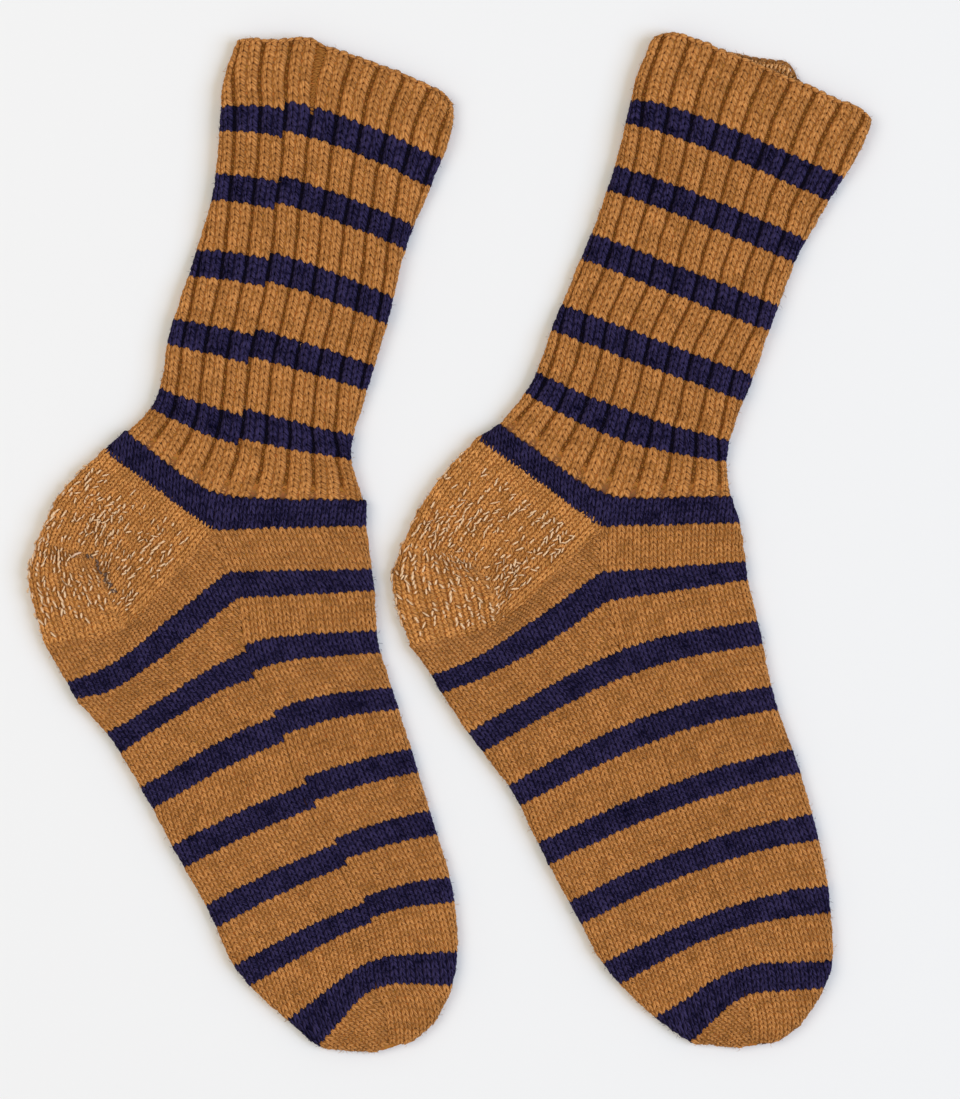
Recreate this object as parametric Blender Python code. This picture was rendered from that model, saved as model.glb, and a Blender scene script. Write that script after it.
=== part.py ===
"""A pair of hand-knitted wool socks, laid flat side by side with their heels to the left.

Each sock is one closed wall of cloth: a knitted tube pressed flat, open at the cuff and closed at the
toe. Its underside is flat on the ground at z = 0, its upper panel lies on the lower one with a thin
hollow between them, and the leg's upper panel carries raised ribs (knit two, purl one).

Sizes are in millimetres and are turned into metres when a point is made. X runs to the right, Y from
the toes to the cuffs, Z up. The origin is under the middle of the pair's box.
"""

from math import cos, pi, sin

import bmesh
import bpy
from mathutils import Vector

MM = 0.001

# The cloth
LOWER_WALL = 2.3         # the lower panel, plain on both faces
FOLD_WALL = 2.8          # the cloth where it turns round at the side folds
RIBS_ACROSS = 9.6        # rib pitches over the upper panel, from fold to fold
FIRST_VALLEY = 0.5       # pitches from the back fold to the first purl valley
VALLEY_SHOULDER = 0.2    # pitches from a valley's bottom to the rounded edge of the rib
SHOULDER_DEPTH = 0.15    # how deep that edge lies, as a share of the valley
LOWER_POINTS = 13        # points under the lower panel, which with the upper ones make an even ring
TOE_TIP_SCALE = 0.45     # the last ring's size against the ring before it
TOE_TIP_REACH = 1.2      # how far the closed toe rounds out past its last course
CUFF_SCALLOP = 0.9       # how far each rib's end stands out past the valleys along the cuff's edge
PAIR_CENTRE = (0.3, -0.55)  # the middle of the pair's box in the coordinates of the courses

# A course is one row of knitting round the sock, and these steer the shape from the cuff to the toe.
#   thick   whole thickness of the flattened tube
#   rib     depth of the purl valleys between the ribs
#   hollow  height left open between the two panels
#   soft    0 where the course turns a sharp corner at its knee, 1 where it is one even bow
#   steps   sections modelled from this course to the next
COURSE_COLUMNS = ("name", "thick", "rib", "hollow", "soft", "steps")
COURSES = (
    ("cuff edge",     7.4, 1.1, 2.6, 0.50, 1),
    ("cuff inside",   7.0, 1.1, 1.6, 0.70, 1),
    ("leg stripe 1",  6.4, 1.2, 0.8, 0.80, 1),
    ("leg stripe 2",  6.2, 1.2, 0.6, 0.90, 1),
    ("leg stripe 3",  6.2, 1.2, 0.6, 0.90, 2),
    ("leg stripe 4",  6.2, 1.2, 0.6, 0.90, 2),
    ("leg stripe 5",  6.2, 1.2, 0.6, 0.80, 1),
    ("ankle",         6.2, 1.0, 0.6, 0.60, 1),
    ("ankle stripe",  5.8, 0.0, 0.6, 0.35, 2),
    ("heel flap",     6.2, 0.0, 0.9, 0.45, 3),
    ("heel turn",     6.8, 0.0, 1.2, 0.60, 2),
    ("heel cap",      6.2, 0.0, 0.9, 0.50, 2),
    ("instep stripe", 5.4, 0.0, 0.6, 0.45, 1),
    ("foot stripe 1", 5.2, 0.0, 0.6, 0.70, 1),
    ("foot stripe 2", 5.2, 0.0, 0.6, 0.90, 1),
    ("foot stripe 3", 5.2, 0.0, 0.6, 0.90, 1),
    ("foot stripe 4", 5.2, 0.0, 0.6, 0.90, 2),
    ("foot stripe 5", 5.2, 0.0, 0.6, 0.80, 2),
    ("foot stripe 6", 5.2, 0.0, 0.6, 0.70, 2),
    ("toe 1",         5.2, 0.0, 0.6, 0.80, 1),
    ("toe 2",         5.2, 0.0, 0.6, 0.90, 1),
    ("toe 3",         5.0, 0.0, 0.6, 0.90, 1),
    ("toe end",       4.6, 0.0, 0.6, 0.90, 1),
)

# Where each course lies: its end at the back fold (heel and sole side), its knee, which pulls the
# course into a corner or a bow, and its end at the front fold (shin and instep side).
LAY_COLUMNS = ("back", "knee", "front")
LEFT_LAY = (
    ((-90, 209), (-58, 212), (2, 184)),
    ((-95, 192), (-60, 196), (1, 170)),
    ((-97, 176), (-63, 179), (-6, 155)),
    ((-100, 148), (-69, 148), (-16, 127)),
    ((-108, 116), (-75, 116), (-24, 96)),
    ((-118, 88), (-80, 82), (-33, 68)),
    ((-124, 60), (-92, 47), (-40, 39)),
    ((-132, 50), (-96, 30), (-39, 27)),
    ((-146, 39), (-97, 13), (-35, 11)),
    ((-163, 20), (-97, 7), (-33, 3)),
    ((-176, -9), (-97, -2), (-33, -3)),
    ((-172, -36), (-95, -10), (-33, -9)),
    ((-159, -60), (-93, -17), (-32, -16)),
    ((-142, -82), (-84, -45), (-30, -42)),
    ((-128, -105), (-70, -70), (-23, -65)),
    ((-115, -129), (-60, -100), (-15, -91)),
    ((-101, -154), (-46, -124), (-7, -117)),
    ((-89, -179), (-34, -148), (1, -145)),
    ((-70, -202), (-32, -177), (4, -177)),
    ((-62, -207), (-28, -187), (0, -187)),
    ((-54, -211), (-26, -196), (-6, -197)),
    ((-46, -212), (-26, -203), (-14, -205)),
    ((-40, -213), (-30, -210), (-23, -210)),
)
RIGHT_LAY = (
    ((84, 211), (104, 210), (177, 177)),
    ((76, 193), (98, 195), (172, 164)),
    ((72, 177), (90, 177), (162, 149)),
    ((65, 150), (100, 141), (147, 122)),
    ((55, 121), (90, 110), (136, 93)),
    ((43, 92), (79, 80), (126, 65)),
    ((32, 63), (68, 46), (116, 38)),
    ((23, 53), (66, 28), (116, 25)),
    ((11, 45), (64, 12), (119, 13)),
    ((-10, 21), (63, 7), (121, 4)),
    ((-24, -12), (62, -2), (123, -3)),
    ((-18, -39), (62, -10), (123, -9)),
    ((-6, -59), (62, -17), (124, -15)),
    ((10, -81), (73, -45), (129, -38)),
    ((26, -105), (86, -72), (135, -64)),
    ((38, -129), (97, -100), (144, -90)),
    ((51, -153), (107, -124), (152, -117)),
    ((65, -178), (117, -150), (158, -146)),
    ((85, -201), (122, -179), (159, -179)),
    ((93, -206), (125, -189), (154, -189)),
    ((101, -209), (127, -197), (148, -197)),
    ((110, -211), (127, -204), (140, -206)),
    ((117, -212), (125, -209), (132, -210)),
)

# The lower panel of a cuff shows past the upper one over part of its width: how far it stands out,
# and where along the cuff that is, as shares of the width from the back fold.
SOCKS = {
    "sock_left": {"lay": LEFT_LAY, "lip": {"reach": 0.0, "start": 0.3, "end": 0.7}},
    "sock_right": {"lay": RIGHT_LAY, "lip": {"reach": 4.0, "start": 0.38, "end": 0.80}},
}

WOOL_COLOUR = (0.342, 0.144, 0.044, 1.0)   # caramel brown, linear
WOOL_ROUGHNESS = 0.95


# ---------------------------------------------------------------- courses

def between(before, start, end, after, share):
    """A smooth value from start to end, led in and out by the values before and after them."""
    lead_in = (end - before) * 0.5
    lead_out = (after - start) * 0.5
    square, cube = share ** 2, share ** 3
    return (start * (2 * cube - 3 * square + 1) + lead_in * (cube - 2 * square + share)
            + end * (3 * square - 2 * cube) + lead_out * (cube - square))


def sections(lay):
    """Every section of one sock: the steering courses and the steps in between."""
    rows = []
    for course, places in zip(COURSES, lay):
        row = dict(zip(COURSE_COLUMNS, course))
        row.update({name: Vector(place) for name, place in zip(LAY_COLUMNS, places)})
        rows.append(row)
    made = []
    for i in range(len(rows) - 1):
        four = [rows[max(i - 1, 0)], rows[i], rows[i + 1], rows[min(i + 2, len(rows) - 1)]]
        for step in range(rows[i]["steps"]):
            share = step / rows[i]["steps"]
            made.append({name: between(*(row[name] for row in four), share)
                         for name in ("thick", "hollow", "soft") + LAY_COLUMNS})
            made[-1]["rib"] = rows[i]["rib"]
    made.append(rows[-1])
    return made


def course_line(section, pieces=16):
    """The plan line of a course from fold to fold, with its corner rounded at the knee."""
    back, knee, front = (section[name] for name in LAY_COLUMNS)
    bend_start = knee.lerp(back, section["soft"])
    bend_end = knee.lerp(front, section["soft"])
    points = [back]
    for i in range(pieces + 1):
        share = i / pieces
        points.append(bend_start.lerp(knee, share).lerp(knee.lerp(bend_end, share), share))
    points.append(front)
    return points


def line_length(points):
    return sum((b - a).length for a, b in zip(points, points[1:]))


def point_along(points, distance):
    """The point of a plan line at a distance from its start; past its ends it runs straight on."""
    for a, b in zip(points, points[1:]):
        piece = (b - a).length
        last = b is points[-1]
        if piece > 0 and (distance <= piece or last):
            return a + (b - a) * (distance / piece)
        distance -= piece
    return points[-1].copy()


# ---------------------------------------------------------------- rings

def rib_depth(pitches):
    """How deep the cloth lies under a rib's crest, 0 to 1, at a place counted in rib pitches."""
    off = abs((pitches - FIRST_VALLEY + 0.5) % 1.0 - 0.5)
    if off < VALLEY_SHOULDER:
        return 1.0 - (1.0 - SHOULDER_DEPTH) * off / VALLEY_SHOULDER
    return SHOULDER_DEPTH * (0.5 - off) / (0.5 - VALLEY_SHOULDER)


def upper_shares():
    """Places over the upper panel, from fold to fold, four to each rib."""
    pitches = [0.0, FIRST_VALLEY / 2]
    valley = FIRST_VALLEY
    while valley < RIBS_ACROSS - 1:
        pitches += [valley, valley + VALLEY_SHOULDER, valley + 0.5, valley + 1 - VALLEY_SHOULDER]
        valley += 1
    return [p / RIBS_ACROSS for p in pitches] + [1.0]


def lower_shares(count):
    """Places under the lower panel, closer together at the rounded folds."""
    edge = (0.024, 0.048)
    middle = count - 2 * len(edge)
    first = 0.12
    even = [first + (1 - 2 * first) * i / (middle - 1) for i in range(middle)]
    return list(edge) + even + [1 - share for share in reversed(edge)]


UPPER = upper_shares()
LOWER = lower_shares(LOWER_POINTS)


def around(length, inset, low, high, share, upper):
    """Distance from the back fold and height of a place on a flattened tube, with its way out."""
    radius = (high - low) / 2
    quarter = pi * radius / 2
    total = length - 2 * inset - 2 * radius + 2 * quarter
    arc = share * total if upper else (1 - share) * total
    centre = (low + high) / 2
    up = 1 if upper else -1
    if arc < quarter:
        turn = arc / radius
        along, out = inset + radius * (1 - cos(turn)), (-cos(turn), up * sin(turn))
    elif arc > total - quarter:
        turn = (total - arc) / radius
        along, out = length - inset - radius * (1 - cos(turn)), (cos(turn), up * sin(turn))
    else:
        along, out = inset + radius + arc - quarter, (0.0, up)
    return along, centre + radius * out[1], out


def ring(section, outer, scale=1.0):
    """One closed ring of points round a section: over the upper panel, then back underneath."""
    line = course_line(section)
    length = line_length(line)
    thick = section["thick"]
    if outer:
        inset, low, high = 0.0, 0.0, thick
    else:
        inset, low, high = FOLD_WALL, LOWER_WALL, LOWER_WALL + section["hollow"]
    middle = length / 2
    height = (low + high) / 2
    points = []
    for share, upper in [(s, True) for s in UPPER] + [(s, False) for s in LOWER]:
        along, z, out = around(length, inset, low, high, share, upper)
        if outer and upper and section["rib"] > 0:
            depth = section["rib"] * rib_depth(share * RIBS_ACROSS)
            along -= out[0] * depth
            z -= out[1] * depth
        place = point_along(line, middle + (along - middle) * scale)
        points.append(Vector((place.x, place.y, height + (z - height) * scale)))
    return points if outer else points[::2]


# ---------------------------------------------------------------- one sock

def cuff_ring(points, leg_way, lip):
    """The cuff's edge: each rib ends in a small scallop, and part of the lower panel stands out."""
    start, end = lip["start"], lip["end"]
    moved = [point + leg_way * CUFF_SCALLOP * (1 - rib_depth(share * RIBS_ACROSS))
             for point, share in zip(points, UPPER)]
    for point, share in zip(points[len(UPPER):], LOWER):
        place = 1 - share
        across = (place - start) / (end - start)
        out = lip["reach"] * sin(pi * across) if 0 < across < 1 else 0.0
        moved.append(point + leg_way * out)
    return moved


def sock_mesh(name, lay, lip):
    """The whole wall of one sock: outer rings, inner rings, the cuff's rim and both closed toes."""
    rows = sections(lay)
    outer = [ring(row, True) for row in rows]
    inner = [ring(row, False) for row in rows[:-1]]
    leg_way = (rows[0]["knee"] - rows[2]["knee"]).normalized().to_3d()
    outer[0] = cuff_ring(outer[0], leg_way, lip)

    toe_way = (rows[-1]["knee"] - rows[-3]["knee"]).normalized().to_3d()
    tip = [point + toe_way * TOE_TIP_REACH for point in ring(rows[-1], True, TOE_TIP_SCALE)]
    outer.append(tip)

    bm = bmesh.new()
    shift = Vector((*PAIR_CENTRE, 0.0))
    outer_verts = [[bm.verts.new((point - shift) * MM) for point in points] for points in outer]
    inner_verts = [[bm.verts.new((point - shift) * MM) for point in points] for points in inner]

    for rings in (outer_verts, inner_verts):
        for a, b in zip(rings, rings[1:]):
            for i in range(len(a)):
                j = (i + 1) % len(a)
                bm.faces.new((a[i], a[j], b[j], b[i]))
        close_end(bm, rings[-1])

    rim_out, rim_in = outer_verts[0], inner_verts[0]
    for i in range(len(rim_in)):
        j = (i + 1) % len(rim_in)
        first, middle, last = (rim_out[(2 * i + k) % len(rim_out)] for k in range(3))
        bm.faces.new((rim_in[i], first, middle))
        bm.faces.new((rim_in[i], middle, rim_in[j]))
        bm.faces.new((rim_in[j], middle, last))

    bmesh.ops.triangulate(bm, faces=bm.faces)
    bmesh.ops.recalc_face_normals(bm, faces=bm.faces)
    mesh = bpy.data.meshes.new(name)
    bm.to_mesh(mesh)
    bm.free()
    return mesh


def close_end(bm, verts):
    """Close the last ring with a fan round its middle."""
    middle = bm.verts.new(sum((v.co for v in verts), Vector()) / len(verts))
    for i in range(len(verts)):
        bm.faces.new((verts[i], verts[(i + 1) % len(verts)], middle))


def wool(name):
    material = bpy.data.materials.new(name)
    material.use_nodes = True
    shader = material.node_tree.nodes["Principled BSDF"]
    shader.inputs["Base Color"].default_value = WOOL_COLOUR
    shader.inputs["Roughness"].default_value = WOOL_ROUGHNESS
    shader.inputs["Metallic"].default_value = 0.0
    material.diffuse_color = WOOL_COLOUR
    return material


def build():
    for old in list(bpy.data.objects):
        bpy.data.objects.remove(old, do_unlink=True)
    for name, sock in SOCKS.items():
        mesh = sock_mesh(name, sock["lay"], sock["lip"])
        mesh.materials.append(wool(name + "_wool"))
        mesh.shade_smooth()
        obj = bpy.data.objects.new(name, mesh)
        bpy.context.scene.collection.objects.link(obj)


build()
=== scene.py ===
# %% [markdown]
# # A pair of hand-knitted socks, stitch by stitch
# The socks lie flat, side by side. Each was knitted round and round from the cuff down, so its cloth is
# one tube: ribs on the leg, plain knitting from the ankle, a heel that is worked back and forth, and a
# toe that closes to a point. A picture of knitting wrapped on a smooth shape would look like print. Here
# every stitch is a small loop of yarn, placed by Geometry Nodes on a chart of cells that follows the
# rows of the real knitting.
#
# The first step loads the fixed frame: the plain solid of each sock, which the knitting replaces.

# %% Load the frame
from math import cos, pi, sin, tau

import bmesh
import bpy
import numpy as np
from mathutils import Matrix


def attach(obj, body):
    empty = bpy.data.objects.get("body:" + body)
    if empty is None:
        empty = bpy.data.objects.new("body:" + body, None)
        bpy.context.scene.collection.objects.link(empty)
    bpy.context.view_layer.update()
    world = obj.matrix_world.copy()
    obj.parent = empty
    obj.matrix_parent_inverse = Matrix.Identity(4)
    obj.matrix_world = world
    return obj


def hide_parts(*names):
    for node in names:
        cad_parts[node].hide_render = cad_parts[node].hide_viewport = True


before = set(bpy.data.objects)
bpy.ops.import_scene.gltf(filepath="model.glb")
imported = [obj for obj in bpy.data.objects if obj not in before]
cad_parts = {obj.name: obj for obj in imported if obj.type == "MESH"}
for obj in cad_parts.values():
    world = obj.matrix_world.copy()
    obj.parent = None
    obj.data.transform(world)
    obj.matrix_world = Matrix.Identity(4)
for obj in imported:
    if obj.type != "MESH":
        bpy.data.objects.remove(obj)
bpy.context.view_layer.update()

MM = 0.001

# %% [markdown]
# ## Where the rows lie
# A sock is counted in rows, from the cuff (row 0) to the toe (row 157). Each table below steers a few of
# them: a course runs from the back fold, over the knee where it turns or bows, to the front fold. The
# rows in between are worked out from these, so the stripes, the ribs and every stitch follow the same
# few numbers. Drawing each stripe by hand would take ten times as many points and drift apart.

# %% The courses of both socks, in millimetres
PAIR_CENTRE = np.array((0.3, -0.55))  # the middle of the pair in the coordinates of the tables
COURSE_COLUMNS = ("row", "back", "knee", "front", "soft", "via")

LEFT_LEG = (
    (0, (-90, 209), (-58, 212), (2, 184), 0.5, ()),
    (6, (-95, 192), (-60, 196), (0.3, 168.5), 0.7, ()),
    (12, (-97, 176), (-63, 177), (-7, 150.2), 0.8, ()),
    (23, (-100, 148), (-69, 147), (-17, 124), 0.9, ()),
    (34, (-108, 116), (-75, 115), (-25, 93), 0.9, ()),
    (45, (-118, 88), (-80, 80.5), (-33.7, 65.5), 0.9, ()),
    (56, (-124, 60), (-92, 45.5), (-40.3, 36.5), 0.8, ()),
    (65, (-136.2, 46.3), (-99.1, 17.9), (-35.2, 17.1), 0.3, ()),
    (69, (-144.9, 38.4), (-99.5, 5.0), (-35.2, 6.7), 0.04, ()),
)
RIGHT_LEG = (
    (0, (84, 211), (104, 210), (177, 177), 0.5, ()),
    (6, (77, 194), (98, 195), (171, 162), 0.7, ()),
    (12, (73, 179), (90, 178), (161, 146.5), 0.8, ()),
    (23, (66, 152), (100, 141.5), (146.5, 120.7), 0.9, ()),
    (34, (56, 123.5), (90, 110.5), (136, 92.6), 0.9, ()),
    (45, (43.6, 93.6), (79, 80.5), (125.3, 63.3), 0.9, ()),
    (56, (33, 66.5), (68, 47.5), (116, 37.5), 0.8, ()),
    (65, (19.8, 49.2), (63.6, 17.5), (117.4, 18.8), 0.3, ()),
    (69, (10.6, 43.4), (62.4, 6.3), (120.8, 7.9), 0.04, ()),
)
# The foot starts at row 69 again: its back half runs along the heel, which is knitted in between.
LEFT_FOOT = (
    (69, (-169.1, -43.0), (-99.5, 5.0), (-35.2, 6.7), 0, ((-137.0, -35.9), (-117.0, -15.0))),
    (76, (-160.0, -58.8), (-92.8, -12.5), (-32.7, -11.3), 0, ((-140.4, -50.5), (-114.9, -30.4))),
    (80, (-156.2, -65.5), (-88.6, -23.4), (-31.5, -20.4), 0, ((-140.4, -61.3), (-114.9, -44.2))),
    (88, (-142, -82), (-84, -45), (-30, -42), 0.45, ()),
    (99, (-128, -105), (-70, -70), (-23, -65), 0.7, ()),
    (110, (-115, -129), (-60, -100), (-15, -91), 0.9, ()),
    (121, (-101, -154), (-46, -124), (-7, -117), 0.9, ()),
    (132, (-89, -179), (-34, -148), (1, -145), 0.8, ()),
    (142, (-68.2, -199.8), (-32.7, -172.3), (3.1, -171.0), 0.35, ()),
    (146, (-55.3, -210.6), (-31.9, -183.5), (1.0, -184.8), 0.35, ()),
    (149, (-47.8, -211.9), (-29.0, -191.0), (-1.9, -192.7), 0.45, ()),
    (152, (-40.3, -212.7), (-27.7, -199.0), (-7.3, -201.5), 0.6, ()),
    (155, (-33.2, -213.1), (-26.9, -206.0), (-15.2, -208.1), 0.6, ()),
    (157, (-28.2, -213.1), (-26.1, -210.6), (-21.9, -211.1), 0.6, ()),
)
RIGHT_FOOT = (
    (69, (-17.3, -43.0), (62.4, 6.3), (120.8, 7.9), 0, ((19.4, -34.2), (41.5, -13.8))),
    (76, (-8.1, -55.5), (62.4, -12.9), (123.3, -7.9), 0, ((10.2, -48.4), (37.3, -30.9))),
    (80, (-4.0, -63.0), (65.7, -24.6), (124.1, -15.8), 0, ((12.3, -57.1), (38.2, -43.4))),
    (88.2, (9, -82), (73, -45), (129, -35.6), 0.5, ()),
    (99.6, (26, -105), (86, -72), (135, -64), 0.7, ()),
    (110.5, (38, -129), (97, -100), (144, -90), 0.9, ()),
    (121.3, (51, -153), (107, -124), (152, -117), 0.9, ()),
    (132, (65, -178), (117, -150), (158, -146), 0.9, ()),
    (142, (85.3, -198.5), (120.8, -175.6), (159.5, -174.8), 0.35, ()),
    (146, (99.9, -209.0), (121.6, -187.7), (156.2, -186.0), 0.35, ()),
    (149, (107.4, -209.8), (122.8, -194.4), (152.0, -193.5), 0.45, ()),
    (152, (113.2, -210.6), (123.3, -200.2), (146.2, -201.5), 0.6, ()),
    (155, (119.1, -211.1), (123.7, -206.5), (137.8, -208.1), 0.6, ()),
    (157, (122.8, -211.5), (124.9, -209.8), (129.9, -210.2), 0.6, ()),
)
# Round the heel the cloth underneath needs rows that go all the way round: these lie between row 69 of
# the leg and row 76 of the foot, and HEEL_ROWS is how many rows they add.
HEEL_ROWS = 16
LEFT_HEEL = (
    (73, (-163, 20), (-98.5, 1), (-33.5, 3), 0.3, ()),
    (79, (-176, -9), (-97, -4), (-33, -2), 0.3, ()),
    (85, (-172, -36), (-95, -9), (-33, -7), 0.3, ()),
)
RIGHT_HEEL = (
    (73, (-10, 21), (62, 2), (121.5, 4), 0.3, ()),
    (79, (-24, -12), (62, -3), (122.5, -1), 0.3, ()),
    (85, (-18, -39), (62, -8), (123, -5), 0.3, ()),
)
# The cuff's edge isn't straight. The rim table lifts it, in millimetres at shares of the width from the
# back fold, and the lip is how far the lower panel shows past the upper one.
LEFT_RIM = ((0, 0.2), (0.08, 0.1), (0.15, -1.4), (0.22, -1.6), (0.25, -0.3), (0.33, 0.8), (0.36, 0.0),
            (0.40, -0.9), (0.52, -0.8), (0.60, -0.4), (0.70, 0.6), (0.80, 1.0), (0.92, 1.1), (1, -1.0))
RIGHT_RIM = ((0, 0.0), (0.04, 0.9), (0.08, 1.5), (0.14, 1.6), (0.16, 0.2), (0.22, 0.7), (0.30, -0.4),
             (0.36, 0.0), (0.65, 0.0), (0.71, 1.0), (0.75, 0.5), (0.83, 0.0), (0.90, 1.3), (1, -1.4))
LEFT_LIP = ((0, 0), (1, 0))
RIGHT_LIP = ((0, 0), (0.31, 0.3), (0.36, 1.2), (0.40, 2.1), (0.46, 2.9), (0.53, 5.1), (0.575, 6.9),
             (0.60, 5.8), (0.625, 3.2), (0.645, 1.2), (0.67, 0), (1, 0))
RIM_ROWS = 6  # how many rows share in the rim's waves
SOCKS = {
    "left": {"leg": LEFT_LEG, "heel": LEFT_HEEL, "foot": LEFT_FOOT, "rim": LEFT_RIM, "lip": LEFT_LIP},
    "right": {"leg": RIGHT_LEG, "heel": RIGHT_HEEL, "foot": RIGHT_FOOT, "rim": RIGHT_RIM, "lip": RIGHT_LIP},
}
print("courses:", {side: {part: len(rows) for part, rows in sock.items()} for side, sock in SOCKS.items()})

# %% [markdown]
# ## From courses to row lines
# A course becomes a line of evenly spaced points. The corner at the knee is rounded with a quadratic
# curve, or the back half is led through two extra points where the cloth turns round the heel. The rows
# between two courses come from Hermite interpolation, which keeps neighbouring rows parallel and smooth.

# %% Lines through the tables
BACK_POINTS, FRONT_POINTS = 48, 32


def even(points, count):
    """The same line as count evenly spaced points."""
    points = np.asarray(points, float)
    run = np.r_[0, np.cumsum(np.linalg.norm(np.diff(points, axis=0), axis=1))]
    at = np.linspace(0, run[-1], count)
    return np.stack([np.interp(at, run, points[:, k]) for k in range(points.shape[1])], axis=1)


def through(points, steps=24):
    """A smooth Catmull-Rom line through the points."""
    p = np.asarray(points, float)
    if len(p) == 2:
        return p
    p = np.vstack([2 * p[0] - p[1], p, 2 * p[-1] - p[-2]])
    t = np.linspace(0, 1, steps, endpoint=False)[:, None]
    spans = [0.5 * (2 * b + (c - a) * t + (2 * a - 5 * b + 4 * c - d) * t ** 2
                    + (3 * b - a - 3 * c + d) * t ** 3)
             for a, b, c, d in zip(p, p[1:], p[2:], p[3:])]
    return np.vstack(spans + [p[-2:-1]])


def course_line(course):
    """One course as a line: BACK_POINTS from the back fold to the knee, then FRONT_POINTS."""
    c = dict(zip(COURSE_COLUMNS, course))
    back, knee, front = (np.array(c[name], float) for name in ("back", "knee", "front"))
    if c["via"]:
        halves = through([back, *c["via"], knee]), np.array([knee, front])
    else:
        start, end = knee + (back - knee) * c["soft"], knee + (front - knee) * c["soft"]
        t = np.linspace(0, 1, 33)[:, None]
        bow = (1 - t) ** 2 * start + 2 * t * (1 - t) * knee + t ** 2 * end
        halves = np.vstack([back, bow[:17]]), np.vstack([bow[16:], front])
    return np.vstack([even(halves[0], BACK_POINTS), even(halves[1], FRONT_POINTS)[1:]])


def row_lines(courses, rows):
    """The lines of any rows, in between the steered ones too, in the pair's own frame."""
    known = np.array([c[0] for c in courses], float)
    lines = np.array([course_line(c) for c in courses]) - PAIR_CENTRE
    slope = np.array([(lines[min(i + 1, len(known) - 1)] - lines[max(i - 1, 0)])
                      / (known[min(i + 1, len(known) - 1)] - known[max(i - 1, 0)])
                      for i in range(len(known))])
    rows = np.asarray(rows, float)
    i = np.clip(np.searchsorted(known, rows, side="right") - 1, 0, len(known) - 2)
    gap = (known[i + 1] - known[i])[:, None, None]
    t = ((rows - known[i]) / (known[i + 1] - known[i]))[:, None, None]
    return ((2 * t ** 3 - 3 * t ** 2 + 1) * lines[i] + (t ** 3 - 2 * t ** 2 + t) * gap * slope[i]
            + (3 * t ** 2 - 2 * t ** 3) * lines[i + 1] + (t ** 3 - t ** 2) * gap * slope[i + 1])


print("row 100 of the left foot is", round(float(np.linalg.norm(
    np.diff(row_lines(LEFT_FOOT, [100])[0], axis=0), axis=1).sum()), 1), "mm from fold to fold")

# %% [markdown]
# ## The flattened tube
# Pressed flat, the tube's section is a stadium: flat above and below, half round at the two folds. A
# distance round the tube, from the back fold, tells where a stitch sits: positive runs over the top,
# negative runs underneath. The cloth is thickest at the cuff and at the heel, and thinnest at the toe.

# %% Thickness, and a place on the tube
# How thick a sock is at places along the pair, in millimetres. The turn of each heel adds a bump.
THICK_AT = ((-212, 4.6), (-190, 5.2), (-82, 5.2), (-20, 5.5), (8, 5.8), (30, 6.0), (148, 6.2), (205, 7.2))
HEEL_BUMP, HEEL_SPREAD = 0.9, 24.0
HEEL_TURN = {"left": (-145.0, -16.0), "right": (6.0, -18.0)}


def thickness(places):
    """How thick the flattened sock is at plan places, in millimetres."""
    heights = np.interp(places[..., 1], *zip(*THICK_AT))
    for middle in HEEL_TURN.values():
        away = np.linalg.norm(places - np.array(middle), axis=-1)
        heights = heights + HEEL_BUMP * np.exp(-(away / HEEL_SPREAD) ** 2)
    return heights


PAST_END = 12.0  # millimetres by which a row with a flat end runs on


class Round:
    """One row line, closed round the flattened tube, or with a flat end instead of a front fold."""

    def __init__(self, line, flat_end=False, below=None):
        self.below = line if below is None else below
        self.back, self.front = (float(thickness(line[i])) / 2 for i in (0, -1))
        if flat_end:
            way = line[-1] - line[-2]
            line = np.vstack([line, line[-1] + way / np.linalg.norm(way) * PAST_END])
        self.line = line
        self.run = np.r_[0, np.cumsum(np.linalg.norm(np.diff(line, axis=0), axis=1))]
        self.length = self.run[-1] - (PAST_END if flat_end else 0)
        self.half = self.length + (pi / 2 - 1) * (self.back + self.front)
        self.flat_end = flat_end

    def over(self, plan):
        """The distance round the tube of a place that lies plan millimetres from the back fold."""
        return plan + (pi / 2 - 1) * self.back

    def knee(self):
        return self.over(self.run[BACK_POINTS - 1])

    def at(self, around):
        """The points at distances round the tube."""
        around = np.asarray(around, float)
        near, far = pi / 2 * self.back, self.half - pi / 2 * self.front
        if self.flat_end:
            far = np.inf
        else:
            around = (around + self.half) % (2 * self.half) - self.half
        s = np.abs(around)
        turn_back, turn_front = s / self.back, (self.half - s) / self.front
        plan = s - near + self.back
        plan = np.where(s < near, self.back * (1 - np.cos(turn_back)), plan)
        plan = np.where(s > far, self.length - self.front * (1 - np.cos(turn_front)), plan)
        lift = np.where(s < near, np.sin(turn_back), np.where(s > far, np.sin(turn_front), 1.0))
        place = np.stack([np.interp(plan, self.run, self.line[:, k]) for k in (0, 1)], axis=-1)
        height = (1 + np.where(around < 0, -lift, lift)) / 2 * thickness(place)
        if self.below is not self.line and not self.flat_end:
            low = np.stack([np.interp(plan, self.run, self.below[:, k]) for k in (0, 1)], axis=-1)
            place = np.where((around < 0)[..., None], low, place)
        return np.concatenate([place, height[..., None]], axis=-1)


RIM_FADE, LOWER_RIM = 1.5, 0.6  # how fast the edge's waves die out, and how high the lower panel's rise


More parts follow.
